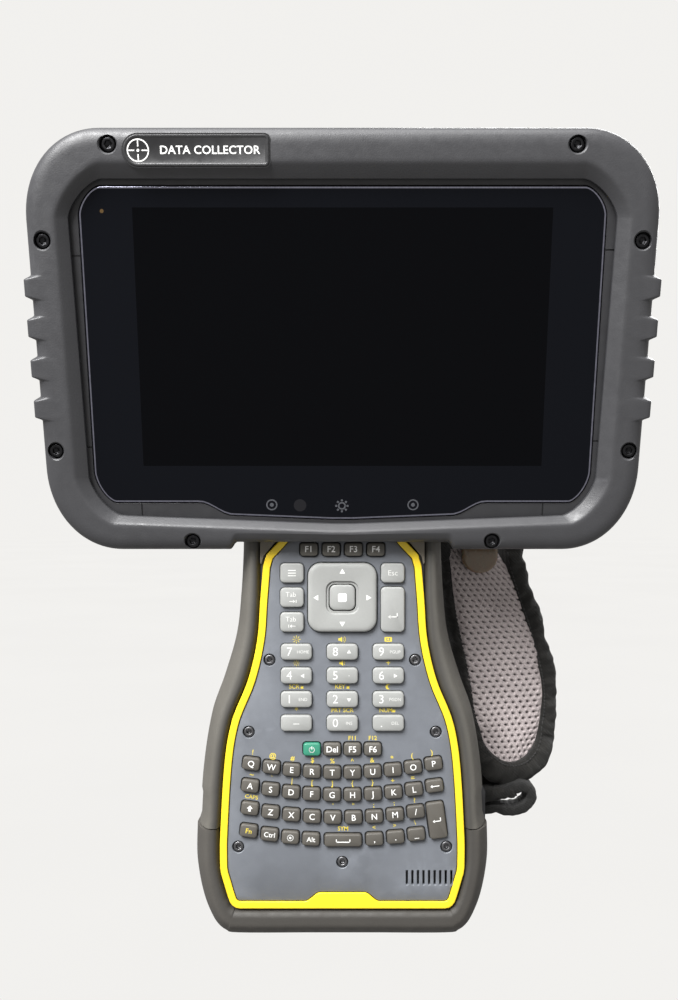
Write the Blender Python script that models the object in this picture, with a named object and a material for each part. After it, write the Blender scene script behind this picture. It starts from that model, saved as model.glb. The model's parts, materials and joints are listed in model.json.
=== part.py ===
"""Handheld data collector: a tablet head in a screwed two-shell guard, on a keypad handle with a hand strap.

The object stands upright, its keypad square to -Y. The origin is on the back, in the middle of the face
that a pole bracket bolts to. Lengths in this file are millimetres, and MM turns them into metres.

The handle is drawn in the keypad frame: x across, y up from the handle's lower end, z out of the panel.
The head is drawn in the display frame: x across, y up the screen, z out of the screen.
"""

import math
from collections import namedtuple

import bmesh
import bpy

MM = 0.001

# Where the two drawing frames stand
BODY_DEPTH = 36.5  # keypad panel's front to the bracket face
MOUNT_HEIGHT = 142.0  # bracket face's middle above the handle's lower end
SCREEN_HEIGHT = 231.1  # screen's middle above the handle's lower end
SCREEN_AHEAD = 19.2  # screen's middle in front of the keypad panel
SCREEN_TILT = 13.0  # degrees, the screen's top towards the user

# Gaps
GAP = 0.3
KEY_GAP = 0.3
KEY_FLANGE = 0.4

# Head, in the display frame
# A shape has its two half widths, its top and bottom, each corner's radius across and up, and how far
# the middle of its bottom steps up
Shape = namedtuple("Shape", "half_top half_bottom top bottom top_corner bottom_corner step")
GUARD = Shape(113.3, 112.0, 74.6, -79.1, (28.0, 31.0), (28.0, 33.0), 2.9)
RIDGE = Shape(102.0, 100.2, 62.3, -67.8, (19.0, 20.0), (14.0, 18.0), -3.2)
BEVEL_FOOT = Shape(99.4, 97.2, 57.2, -65.4, (13.0, 14.0), (12.0, 15.0), -3.8)
POCKET = Shape(101.5, 99.6, 60.5, -71.5, (15.0, 16.0), (13.0, 14.0), 0.0)
REAR_WINDOW = Shape(93.0, 91.5, 54.0, -62.0, (12.0, 12.0), (12.0, 12.0), 0.0)
TRAY = Shape(86.0, 86.0, 53.0, -57.0, (5.0, 5.0), (5.0, 5.0), 0.0)
GLASS = Shape(94.7, 94.2, 55.0, -60.8, (8.0, 10.0), (8.0, 12.0), -5.4)
GUARD_STEP = (40.6, 42.6)
BEVEL_STEP = (9.0, 80.0)
GLASS_STEP = (43.0, 55.0)
GUARD_FRONT = 7.6
GUARD_SPLIT = -11.0
GUARD_BACK = -30.0
GUARD_BAR_BACK = 0.8  # the lower bar's back, where it bridges the handle's neck
LEDGE = 1.8  # the bezel round the glass
HOUSING_BACK = -18.0
RIB_HEIGHTS = (-24.4, -9.5, 5.1, 19.5)
RIB_HALF = 4.6
RIB_SLOPE = 1.7
RIB_OUT = 2.2
CORNER_STEPS = 6

GUARD_SCREWS = ((-82, 68.7), (82, 68.7), (-107, 36), (107, 36), (-107, -40), (107, -40), (-57, -75),
                (57, -75))
SCREW_HEAD_R = 2.75
SCREW_SHANK_R = 1.4
SCREW_SOCKET_R = 1.5
SCREW_RECESS_R = 3.15
SCREW_TOP = 6.3
SCREW_UNDER_HEAD = 4.3
SCREW_TIP = -14.5

LCD_HALF_WIDTH = 80.0
LCD_HALF_HEIGHT = 51.0
LCD_THICKNESS = 3.0
LCD_LIP = 1.5  # how far the frame's rim stands round the screen
LCD_LIP_DEPTH = 0.6
MAIN_BOARD_SIZE = (150.0, 96.0)
MAIN_BOARD_SPAN = (-11.6, -10.0)
SHIELD_SIZE = (96.0, 60.0)
SHIELD_FRONT = -7.0
TRAY_FLOOR = -15.5
TRAY_RIM = 0.1
BATTERY_INNER = 12.0
BATTERY_OUTER = 88.0
BATTERY_LOW = -26.0
BATTERY_HIGH = 48.0
BATTERY_BACK = -28.5
LATCH_X = 50.0
LATCH_SIZE = (20.0, 9.0)
LATCH_Y = -31.5
LATCH_BACK = -25.0
PORT_COVER_HALF = 9.0
PORT_COVER_SPAN = (-18.0, 14.0)
PORT_COVER_THICK = 2.5
PORT_COVER_BEVEL = 0.6
COVER_BEVEL = 2.0  # on the batteries and the latches

# Handle, in the keypad frame: (height, half width), top first
NECK_TOP = 160.0
NECK_RISE = math.tan(math.radians(SCREEN_TILT))  # the neck's top rises to the back under the head
TRIM_HEAD = ((21.6, 160.0), (24.9, 156.0))
TRIM_LINE = ((149.4, 30.7), (133.3, 32.0), (117.7, 33.2), (102.1, 36.8), (86.5, 43.0), (70.9, 45.8),
             (39.7, 47.7), (32.0, 47.7))
TRIM_FOOT = ((46.5, 24.0), (44.6, 17.6), (43.2, 14.6), (40.0, 13.0), (14.3, 13.0), (8.0, 13.0))
TRIM_HEIGHTS = (149.4, 142, 134, 126, 118, 111, 104, 97, 90, 82, 71, 58, 44, 32)
TRIM_WIDTH = 2.8
BADGE_HALF = 8.0
BADGE_TOP = 19.2
BUMPER_LINE = ((160.0, 40.1), (151.0, 40.2), (136.0, 41.0), (119.5, 42.8), (103.0, 47.5), (89.0, 52.4),
               (67.0, 56.0), (39.0, 57.8))
BUMPER_FOOT = ((57.8, 44.0), (58.0, 33.0), (57.2, 25.0), (55.6, 17.0), (53.4, 10.5), (50.3, 4.6),
               (46.4, 1.2), (41.0, 0.0), (14.3, 0.0))
BUMPER_FOOT_INNER = ((48.1, 43.8), (48.1, 32.0), (46.9, 24.0), (45.0, 17.4), (44.2, 15.8), (43.4, 14.2),
                     (42.0, 13.2), (40.0, 12.6), (14.3, 12.6))
BUMPER_SEAM = 44.0
BUMPER_INNER_LEAST = 32.3
BUMPER_PROUD = 1.1
BUMPER_BACK = -29.0
BUMPER_SECTION = ((0, -0.8), (0.3, BUMPER_PROUD), (0.5, BUMPER_PROUD - 0.2), (0.86, -3.6), (1, -9.0),
                  (0.94, -22.0), (0.6, BUMPER_BACK), (0, BUMPER_BACK))  # (share of the width, z)
BUMPER_HEIGHTS = (NECK_TOP, 149.4, 143, 135, 127, 119, 111, 103, 95, 87, 78, 67, 55, BUMPER_SEAM + GAP)
TRIM_PROUD = 0.5
PANEL_THICK = 2.0
SHELL_FRONT = -2.3
SHELL_BACK = -32.5
SHELL_WALL = 3.0
SHELL_FLOOR = -24.5
SHELL_GAP = 0.1

# Keys: (x, height above the handle's lower end)
KEY_PROUD = 1.6
KEY_BEVEL = 0.45
FLANGE_THICK = 0.7
TOP_ROW_HEIGHT = 153.1
TOP_ROW_PITCH = 8.68
SIDE_KEY_X = 19.6
SIDE_KEY_HEIGHTS = (143.9, 134.4, 124.8)
ENTER_HEIGHT = 129.7
DPAD_HEIGHT = 134.4
DPAD_SIZE = 26.6
DPAD_HOLE = 12.3
DPAD_CENTRE = 10.0
DPAD_BACK = -1.7
NUMBER_X = 17.9
NUMBER_TOP = 113.2
NUMBER_PITCH = 9.23
POWER_ROW_HEIGHT = 75.3
POWER_ROW_PITCH = 7.9
SMALL_KEY = (6.9, 5.2)
SIDE_KEY = (8.9, 7.3)
ENTER_KEY = (9.0, 17.2)
NUMBER_KEY = (11.9, 5.9)
LETTER_KEY = (6.8, 5.0)
SPACE_KEY = (14.6, 4.9)
TALL_KEY = (6.9, 14.2)
LETTER_ROWS = ((66.2, 10, 7.88, 0.0), (57.5, 10, 7.97, 0.0), (48.7, 9, 8.07, -3.7))
BOTTOM_ROW_HEIGHT = 39.9
BOTTOM_ROW_X = (-36.4, -28.3, -20.2, -12.2, 12.5, 20.7, 28.8)
TALL_KEY_AT = (36.7, 47.7)
ROW_RADIUS = 180.0
MAT_FOOT = 36.0
MAT_TOP = 69.4
MAT_HALF_WIDTH = 41.2
ROW_TURN = 0.65  # share of the row's own slope that each key turns
KEYPAD_SCREWS = ((-28.4, 109.9), (28.4, 109.9), (-36.5, 81.8), (36.5, 81.8), (-40.6, 37.0), (40.6, 37.0),
                 (0.0, 31.0))
KEYPAD_SCREW_R = 2.35
SPEAKER_SLOTS = 9
SPEAKER_X = 33.9
SPEAKER_HEIGHT = 25.0
SPEAKER_PITCH = 2.17
SPEAKER_SLOT = (0.6, 5.0)
SPEAKER_MIDDLE = (32.4, 25.0)
SPEAKER_RIM = (16.0, 10.0)
SPEAKER_CONE = (12.0, 7.0)
SPEAKER_LEVELS = (-9.0, -6.0, -3.2)
BOARD_FRONT = -4.4
BOARD_THICK = 1.6
BOARD_MARGIN = 4.0
MOUNT_SIZE = (46.0, 34.0)
MOUNT_BEVEL = 0.6

# Hand strap. An anchor is (low x, high x, low y, high y, corner radius, back), in the keypad frame
TOP_ANCHOR = (29.0, 66.0, 142.5, 155.0, 4.0, -33.0)
BOTTOM_ANCHOR = (48.0, 60.0, 35.0, 53.0, 3.0, -33.2)
ANCHOR_FRONT = -29.5
# (height, left edge x, left edge z, right edge x, right edge z)
STRAP_STATIONS = ((148, 40, -37.5, 78, -43), (133, 41.5, -38.5, 83, -48), (119, 44, -39.5, 88, -52),
                  (105, 47, -40.5, 92, -54), (92, 50.5, -40.5, 94.5, -55), (79, 54, -40, 94.5, -54),
                  (67, 56.5, -39, 92, -51), (58, 58.5, -38, 88, -47), (52, 62, -38, 83, -44))
STRAP_THICK = 6.5
STRAP_END_SHARE = 0.6  # the ends' thickness over the middle's
WEBBING_PATH = ((81.0, 49.6), (82.0, 45.0), (79.5, 40.2), (74.5, 37.3), (68.0, 36.8), (61.0, 38.5))
WEBBING_SPAN = (-48.0, -34.0)
WEBBING_THICK = 2.6


def clear_scene():
    for obj in list(bpy.data.objects):
        bpy.data.objects.remove(obj)


def make_material(name, colour, roughness, metallic=0.0):
    material = bpy.data.materials.new(name)
    material.use_nodes = True
    shader = material.node_tree.nodes["Principled BSDF"]
    shader.inputs["Base Color"].default_value = (*colour, 1.0)
    shader.inputs["Roughness"].default_value = roughness
    shader.inputs["Metallic"].default_value = metallic
    return material


def make_frame(name, height, ahead, tilt):
    """An empty with x across, y up and z out of the face. Height and ahead are from the bracket."""
    empty = bpy.data.objects.new(name, None)
    bpy.context.scene.collection.objects.link(empty)
    empty.location = (0, -(BODY_DEPTH + ahead) * MM, (height - MOUNT_HEIGHT) * MM)
    empty.rotation_euler = (math.radians(90 + tilt), 0, 0)
    return empty


def mesh_of(name, bm):
    bmesh.ops.recalc_face_normals(bm, faces=bm.faces[:])
    bmesh.ops.scale(bm, vec=(MM, MM, MM), verts=bm.verts[:])
    mesh = bpy.data.meshes.new(name)
    bm.to_mesh(mesh)
    bm.free()
    mesh.shade_smooth()
    mesh.set_sharp_from_angle(angle=math.radians(30))
    return mesh


def place(name, mesh, frame, material, at=(0, 0, 0)):
    """Adds the object that is one sub-part, with its origin at that point of the frame."""
    if not mesh.materials:
        mesh.materials.append(material)
    obj = bpy.data.objects.new(name, mesh)
    bpy.context.scene.collection.objects.link(obj)
    obj.parent = frame
    obj.location = [value * MM for value in at]
    return obj


def ring_of_quads(bm, first, second):
    for i in range(len(first)):
        bm.faces.new((first[i - 1], first[i], second[i], second[i - 1]))


def loft(name, loops, closed=False):
    """A solid through loops of equally many points: a ring of them, or a row with a face at each end."""
    bm = bmesh.new()
    rings = [[bm.verts.new(point) for point in loop] for loop in loops]
    for first, second in zip(rings, rings[1:]):
        ring_of_quads(bm, first, second)
    if closed:
        ring_of_quads(bm, rings[-1], rings[0])
    else:
        bm.faces.new(rings[0])
        bm.faces.new(rings[-1])
    return mesh_of(name, bm)


def at_level(outline, z):
    return [(x, y, z) for x, y in outline]


def arc(x, y, radius, start, end, steps, stretch=1.0):
    """Points round a centre between two angles in degrees. Stretch is the height over the width."""
    turns = [math.radians(start + (end - start) * i / steps) for i in range(steps + 1)]
    return [(x + radius * math.cos(a), y + radius * stretch * math.sin(a)) for a in turns]


def rounded_box(width, height, radius, x=0.0, y=0.0, turn=0.0, steps=1):
    """A rectangle's outline with rounded corners, about its middle, turned by an angle in radians."""
    across, up = width / 2 - radius, height / 2 - radius
    points = []
    for i, (side_x, side_y) in enumerate(((1, 1), (-1, 1), (-1, -1), (1, -1))):
        points += arc(side_x * across, side_y * up, radius, 90 * i, 90 * i + 90, steps)
    cos, sin = math.cos(turn), math.sin(turn)
    return [(x + px * cos - py * sin, y + px * sin + py * cos) for px, py in points]


def circle(x, y, radius, steps=12):
    return arc(x, y, radius, 0, 360 - 360 / steps, steps - 1)


def span_box(low_x, high_x, low_y, high_y, radius, steps=2):
    return rounded_box(high_x - low_x, high_y - low_y, radius, (low_x + high_x) / 2, (low_y + high_y) / 2,
                       steps=steps)


def smooth_value(knots, at):
    """The curve through (height, width) knots, top first: a cubic between each two."""
    for i in range(len(knots) - 1):
        if at >= knots[i + 1][0] - 1e-6:
            break
    before, after = knots[max(i - 1, 0)], knots[min(i + 2, len(knots) - 1)]
    (h0, w0), (h1, w1) = knots[i], knots[i + 1]
    slope0 = (w1 - before[1]) / (h1 - before[0])
    slope1 = (after[1] - w0) / (after[0] - h0)
    run = h1 - h0
    t = (at - h0) / run
    return ((2 * t**3 - 3 * t**2 + 1) * w0 + (t**3 - 2 * t**2 + t) * run * slope0
            + (3 * t**2 - 2 * t**3) * w1 + (t**3 - t**2) * run * slope1)


def mirrored(half):
    """A clockwise outline from its right half, drawn from the top down."""
    return list(half) + [(-x, y) for x, y in reversed(half)]


def inset(outline, distance):
    """A clockwise outline moved inwards, corners mitred."""
    moved = []
    for i, (x, y) in enumerate(outline):
        normals = []
        for (ax, ay), (bx, by) in ((outline[i - 1], (x, y)), ((x, y), outline[(i + 1) % len(outline)])):
            length = math.hypot(bx - ax, by - ay)
            normals.append(((by - ay) / length, -(bx - ax) / length))
        (nx, ny), (mx, my) = normals
        share = distance / (1 + nx * mx + ny * my)
        moved.append((x + (nx + mx) * share, y + (ny + my) * share))
    return moved


# ---------------------------------------------------------------- outlines

def grown(shape, by):
    """The same shape with every side moved out, or in for a negative value."""
    return shape._replace(half_top=shape.half_top + by, half_bottom=shape.half_bottom + by,
                          top=shape.top + by, bottom=shape.bottom - by,
                          top_corner=[max(radius + by, 1) for radius in shape.top_corner],
                          bottom_corner=[max(radius + by, 1) for radius in shape.bottom_corner])


def head_outline(shape, step=GUARD_STEP, rib=0.0):
    """The head's outline from the bottom's middle round to the right, with room for the side ribs."""
    across, up = shape.bottom_corner
    top_across, top_up = shape.top_corner
    low, high = shape.bottom + up, shape.top - top_up
    half = [(step[0], shape.bottom + shape.step), (step[1], shape.bottom)]
    half += arc(shape.half_bottom - across, low, across, -90, 0, CORNER_STEPS, up / across)
    tip = RIB_HALF - RIB_SLOPE
    for middle in RIB_HEIGHTS:
        for edge, out in ((-RIB_HALF, 0), (-tip, rib), (tip, rib), (RIB_HALF, 0)):
            share = (middle + edge - low) / (high - low)
            side = shape.half_bottom + (shape.half_top - shape.half_bottom) * share
            half.append((side + out, middle + edge))
    half += arc(shape.half_top - top_across, high, top_across, 0, 90, CORNER_STEPS, top_up / top_across)
    return mirrored(half)


def trim_outline():
    sides = [(smooth_value(TRIM_LINE, height), height) for height in TRIM_HEIGHTS]
    return mirrored(list(TRIM_HEAD) + sides + list(TRIM_FOOT))


def panel_edge():
    """The trim's inner line, which rises round the badge."""
    inner = inset(trim_outline(), TRIM_WIDTH)
    return [(x, BADGE_TOP) if abs(x) <= BADGE_HALF + 0.1 else (x, y) for x, y in inner]


# ---------------------------------------------------------------- head

def make_front_guard(frame, material, cutter):
    def back_of(outline):
        return [(x, y, GUARD_BAR_BACK if abs(x) < GUARD_STEP[0] + 0.1 and y < 0 else GUARD_SPLIT)
                for x, y in outline]

    outer = head_outline(GUARD, rib=RIB_OUT)
    loops = [
        back_of(outer),
        at_level(outer, 3.2),
        at_level(head_outline(grown(GUARD, -1.2), rib=RIB_OUT), 6.2),
        at_level(head_outline(grown(GUARD, -4.0)), GUARD_FRONT),
        at_level(head_outline(RIDGE, BEVEL_STEP), GUARD_FRONT),
        at_level(head_outline(BEVEL_FOOT, BEVEL_STEP), LEDGE + GAP),
        at_level(head_outline(POCKET), LEDGE + GAP),
        back_of(head_outline(POCKET)),
    ]
    guard = place("front_guard", loft("front_guard", loops, closed=True), frame, material)
    cut_with(guard, cutter)


def make_rear_guard(frame, material, cutter):
    """A C-shaped rear shell, open at the bottom where the handle's neck leaves it."""
    back_edge = grown(GUARD, -5.0)
    loops = [
        at_level(head_outline(GUARD, rib=RIB_OUT), GUARD_SPLIT - GAP),
        at_level(head_outline(GUARD, rib=RIB_OUT), GUARD_BACK + 6),
        at_level(head_outline(back_edge), GUARD_BACK),
        at_level(head_outline(REAR_WINDOW), GUARD_BACK),
        at_level(head_outline(REAR_WINDOW), HOUSING_BACK - GAP),
        at_level(head_outline(POCKET), HOUSING_BACK - GAP),
        at_level(head_outline(POCKET), GUARD_SPLIT - GAP),
    ]
    sections = list(zip(*loops))[1:-1]
    guard = place("rear_guard", loft("rear_guard", sections), frame, material)
    cut_with(guard, cutter)


def cut_with(obj, cutter):
    cut = obj.modifiers.new("screw_holes", "BOOLEAN")
    cut.operation = "DIFFERENCE"
    cut.object = cutter
    cut.solver = "EXACT"


def make_screw_cutter(frame, material):
    bm = bmesh.new()
    for x, y in GUARD_SCREWS:
        steps = ((SCREW_RECESS_R, GUARD_FRONT + 1), (SCREW_RECESS_R, SCREW_UNDER_HEAD - GAP),
                 (SCREW_SHANK_R + GAP, SCREW_UNDER_HEAD - GAP), (SCREW_SHANK_R + GAP, SCREW_TIP - GAP))
        rings = [[bm.verts.new(p) for p in at_level(circle(x, y, radius), z)] for radius, z in steps]
        for first, second in zip(rings, rings[1:]):
            ring_of_quads(bm, first, second)
        bm.faces.new(rings[0])
        bm.faces.new(rings[-1])
    cutter = place("screw_hole_cutter", mesh_of("screw_hole_cutter", bm), frame, material)
    cutter.hide_render = True
    cutter.display_type = "WIRE"
    return cutter


def hexagon(radius):
    """A hexagon drawn with twelve points, so that it joins to a circle of twelve."""
    corners = circle(0, 0, radius, 6)
    points = []
    for i, (x, y) in enumerate(corners):
        next_x, next_y = corners[(i + 1) % 6]
        points += [(x, y), ((x + next_x) / 2, (y + next_y) / 2)]
    return points


def make_guard_screws(frame, material):
    loops = [
        at_level(hexagon(SCREW_SOCKET_R), SCREW_TOP - 1.4),
        at_level(hexagon(SCREW_SOCKET_R), SCREW_TOP),
        at_level(circle(0, 0, SCREW_HEAD_R - 0.3), SCREW_TOP),
        at_level(circle(0, 0, SCREW_HEAD_R), SCREW_TOP - 0.3),
        at_level(circle(0, 0, SCREW_HEAD_R), SCREW_UNDER_HEAD),
        at_level(circle(0, 0, SCREW_SHANK_R), SCREW_UNDER_HEAD),
        at_level(circle(0, 0, SCREW_SHANK_R), SCREW_TIP),
    ]
    mesh = loft("guard_screw", loops)
    for i, (x, y) in enumerate(GUARD_SCREWS, 1):
        place(f"guard_screw_{i}", mesh, frame, material, (x, y, 0))


def make_display_housing(frame, material):
    """A tray open to the front: the glass lies in its step, the screen and the main board in its pocket."""
    body = grown(POCKET, -0.5)
    opening = grown(GLASS, GAP)
    loops = [
        at_level(head_outline(TRAY), TRAY_FLOOR),
        at_level(head_outline(TRAY), TRAY_RIM),
        at_level(head_outline(opening, GLASS_STEP), TRAY_RIM),
        at_level(head_outline(opening, GLASS_STEP), LEDGE),
        at_level(head_outline(grown(body, -0.6)), LEDGE),
        at_level(head_outline(body), LEDGE - 0.6),
        at_level(head_outline(body), HOUSING_BACK + 2),
        at_level(head_outline(grown(body, -2.0)), HOUSING_BACK),
    ]
    place("display_housing", loft("display_housing", loops), frame, material)


def make_display_glass(frame, material):
    outline = head_outline(GLASS, GLASS_STEP)
    loops = [at_level(outline, 0.4), at_level(outline, 1.3),
             at_level(head_outline(grown(GLASS, -0.4), GLASS_STEP), 1.6)]
    place("display_glass", loft("display_glass", loops), frame, material)


def make_lcd_panel(frame, material):
    outline = rounded_box(2 * LCD_HALF_WIDTH, 2 * LCD_HALF_HEIGHT, 1.5)
    lip = rounded_box(2 * (LCD_HALF_WIDTH - LCD_LIP), 2 * (LCD_HALF_HEIGHT - LCD_LIP), 1.0)
    loops = [at_level(outline, -LCD_THICKNESS), at_level(outline, -LCD_LIP_DEPTH),
             at_level(lip, -LCD_LIP_DEPTH), at_level(lip, 0.0)]
    place("lcd_panel", loft("lcd_panel", loops), frame, material)


def make_main_board(frame, material):
    """The circuit board with its shield can on the front."""
    board = rounded_box(*MAIN_BOARD_SIZE, 3.0)
    shield = rounded_box(*SHIELD_SIZE, 2.0)
    back, front = MAIN_BOARD_SPAN
    loops = [at_level(board, back), at_level(board, front), at_level(shield, front),
             at_level(shield, SHIELD_FRONT)]
    place("main_board", loft("main_board", loops), frame, material)


def make_batteries(frame, material):
    outline = span_box(BATTERY_INNER, BATTERY_OUTER, BATTERY_LOW, BATTERY_HIGH, 4.0)
    crown = span_box(BATTERY_INNER + COVER_BEVEL, BATTERY_OUTER - COVER_BEVEL, BATTERY_LOW + COVER_BEVEL,
                     BATTERY_HIGH - COVER_BEVEL, 4.0)
    for name, side in (("battery_right", 1), ("battery_left", -1)):
        loops = [[(side * x, y, z) for x, y, z in loop] for loop in
                 (at_level(outline, HOUSING_BACK - GAP), at_level(outline, BATTERY_BACK + COVER_BEVEL),
                  at_level(crown, BATTERY_BACK))]
        place(name, loft(name, loops), frame, material)


def make_battery_latches(frame, material):
    """Each latch slides down, away from its battery, and a spring brings it back."""
    width, height = LATCH_SIZE
    loops = [
        at_level(rounded_box(width, height, 1.5), HOUSING_BACK - GAP),
        at_level(rounded_box(width, height, 1.5), LATCH_BACK + COVER_BEVEL),
        at_level(rounded_box(width - 1.5 * COVER_BEVEL, height - 1.5 * COVER_BEVEL, 1.5), LATCH_BACK),
    ]
    mesh = loft("battery_latch", loops)
    place("battery_latch_right", mesh, frame, material, (LATCH_X, LATCH_Y, 0))
    place("battery_latch_left", mesh, frame, material, (-LATCH_X, LATCH_Y, 0))


def make_port_cover(frame, material):
    """The flap over the connectors. Its origin is on its hinge line, at its left edge's outer corner."""
    low, high = PORT_COVER_SPAN
    outline = span_box(0, 2 * PORT_COVER_HALF, low, high, 2.0)
    crown = span_box(PORT_COVER_BEVEL, 2 * PORT_COVER_HALF - PORT_COVER_BEVEL, low + PORT_COVER_BEVEL,
                     high - PORT_COVER_BEVEL, 2.0)
    loops = [at_level(outline, PORT_COVER_THICK), at_level(outline, PORT_COVER_BEVEL), at_level(crown, 0)]
    at = (-PORT_COVER_HALF, 0, HOUSING_BACK - GAP - PORT_COVER_THICK)
    place("port_cover", loft("port_cover", loops), frame, material, at)


# ---------------------------------------------------------------- handle

def letter_keys():
    """Every key of the letter block: (x, y, width, height, turn). The rows are arcs, higher at both ends."""
    def on_row(x, height, size):
        return (x, height + x * x / (2 * ROW_RADIUS), *size, ROW_TURN * math.asin(x / ROW_RADIUS))

    keys = []
    for height, count, pitch, shift in LETTER_ROWS:
        keys += [on_row((i - (count - 1) / 2) * pitch + shift, height, LETTER_KEY) for i in range(count)]
    keys += [on_row(x, BOTTOM_ROW_HEIGHT, LETTER_KEY) for x in BOTTOM_ROW_X]
    keys.append(on_row(0.3, BOTTOM_ROW_HEIGHT, SPACE_KEY))
    keys.append((*TALL_KEY_AT, *TALL_KEY, ROW_TURN * math.asin(TALL_KEY_AT[0] / ROW_RADIUS)))
    return keys


def moving_keys():
    """Every key that is its own piece: name to (x, y, width, height, corner radius, material name)."""
    keys = {}
    for i in range(4):
        keys[f"key_f{i + 1}"] = ((i - 1.5) * TOP_ROW_PITCH, TOP_ROW_HEIGHT, *SMALL_KEY, 1.2, "dark_key")
    for name, height in zip(("key_menu", "key_tab", "key_tab_back"), SIDE_KEY_HEIGHTS):
        keys[name] = (-SIDE_KEY_X, height, *SIDE_KEY, 1.6, "light_key")
    keys["key_escape"] = (SIDE_KEY_X, SIDE_KEY_HEIGHTS[0], *SIDE_KEY, 1.6, "light_key")
    keys["key_enter"] = (SIDE_KEY_X, ENTER_HEIGHT, *ENTER_KEY, 1.6, "light_key")
    rows = (("7", "8", "9"), ("4", "5", "6"), ("1", "2", "3"), ("minus", "0", "point"))
    for i, row in enumerate(rows):
        for name, x in zip(row, (-NUMBER_X, 0, NUMBER_X)):
            keys[f"key_{name}"] = (x, NUMBER_TOP - i * NUMBER_PITCH, *NUMBER_KEY, 1.6, "light_key")
    for i, (name, colour) in enumerate((("power", "green_key"), ("delete", "dark_key"), ("f5", "dark_key"),
                                        ("f6", "dark_key"))):
        keys[f"key_{name}"] = ((i - 1.5) * POWER_ROW_PITCH, POWER_ROW_HEIGHT, *LETTER_KEY, 1.2, colour)
    return keys


def make_moving_keys(frame, materials):
    """Rigid caps with a flange behind the panel. Each one's origin is on the panel's face, in its middle."""
    behind = -PANEL_THICK - GAP
    for name, (x, y, width, height, radius, colour) in moving_keys().items():
        cap = rounded_box(width, height, radius)
        crown = rounded_box(width - 2 * KEY_BEVEL, height - 2 * KEY_BEVEL, radius * 0.7)
        flange = rounded_box(width + 2 * KEY_FLANGE, height + 2 * KEY_FLANGE, radius)
        loops = [at_level(flange, behind - FLANGE_THICK), at_level(flange, behind), at_level(cap, behind),
                 at_level(cap, KEY_PROUD - KEY_BEVEL), at_level(crown, KEY_PROUD)]
        place(name, loft(name, loops), frame, materials[colour], (x, y, 0))


def make_direction_pad(frame, materials):
    """The rocking ring with its origin on its rocking axis, and the select key in its middle."""
    outer = rounded_box(DPAD_SIZE, DPAD_SIZE, 5.0, steps=3)
    hole = rounded_box(DPAD_HOLE, DPAD_HOLE, 3.2, steps=3)
    crown = rounded_box(DPAD_SIZE - 1.6, DPAD_SIZE - 1.6, 4.4, steps=3)
    dish = rounded_box(DPAD_HOLE + 5, DPAD_HOLE + 5, 4.2, steps=3)
    loops = [at_level(hole, DPAD_BACK), at_level(outer, DPAD_BACK), at_level(outer, 1.5),
             at_level(crown, 2.2), at_level(dish, 2.0), at_level(hole, 1.3)]
    place("direction_pad", loft("direction_pad", loops, closed=True), frame, materials["light_key"],
          (0, DPAD_HEIGHT, 0))
    cap = rounded_box(DPAD_CENTRE, DPAD_CENTRE, 2.4, steps=2)
    crown = rounded_box(DPAD_CENTRE - 1, DPAD_CENTRE - 1, 2.0, steps=2)
    loops = [at_level(cap, DPAD_BACK), at_level(cap, 1.3), at_level(crown, 1.8)]
    place("key_select", loft("key_select", loops), frame, materials["light_key"], (0, DPAD_HEIGHT, 0))


def flat_face_with_holes(bm, outline, holes, z):
    """Fills the outline less its holes, and returns each loop's vertices, the outline's first."""
    rings = [[bm.verts.new(point) for point in at_level(loop, z)] for loop in (outline, *holes)]
    edges = [bm.edges.new((ring[i - 1], ring[i])) for ring in rings for i in range(len(ring))]
    bmesh.ops.triangle_fill(bm, use_beauty=True, edges=edges, normal=(0, 0, 1))
    return rings


def make_keypad_panel(frame, material):
    holes = [rounded_box(width + 2 * KEY_GAP, height + 2 * KEY_GAP, radius, x, y)
             for x, y, width, height, radius, _ in moving_keys().values()]
    holes += [rounded_box(width + 2 * KEY_GAP, height + 2 * KEY_GAP, 0.9, x, y, turn)
              for x, y, width, height, turn in letter_keys()]
    holes.append(rounded_box(DPAD_SIZE + 0.8, DPAD_SIZE + 0.8, 5.3, 0, DPAD_HEIGHT, steps=2))
    holes += [circle(x, y, KEYPAD_SCREW_R, 10) for x, y in KEYPAD_SCREWS]
    holes += [rounded_box(*SPEAKER_SLOT, 0.15, SPEAKER_X + (i - (SPEAKER_SLOTS - 1) / 2) * SPEAKER_PITCH,
                          SPEAKER_HEIGHT)
              for i in range(SPEAKER_SLOTS)]
    bm = bmesh.new()
    outline = inset(panel_edge(), GAP)
    back = flat_face_with_holes(bm, outline, holes, -PANEL_THICK)
    front = flat_face_with_holes(bm, outline, holes, 0.0)
    for first, second in zip(back, front):
        ring_of_quads(bm, first, second)
    place("keypad_panel", mesh_of("keypad_panel", bm), frame, material)


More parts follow.
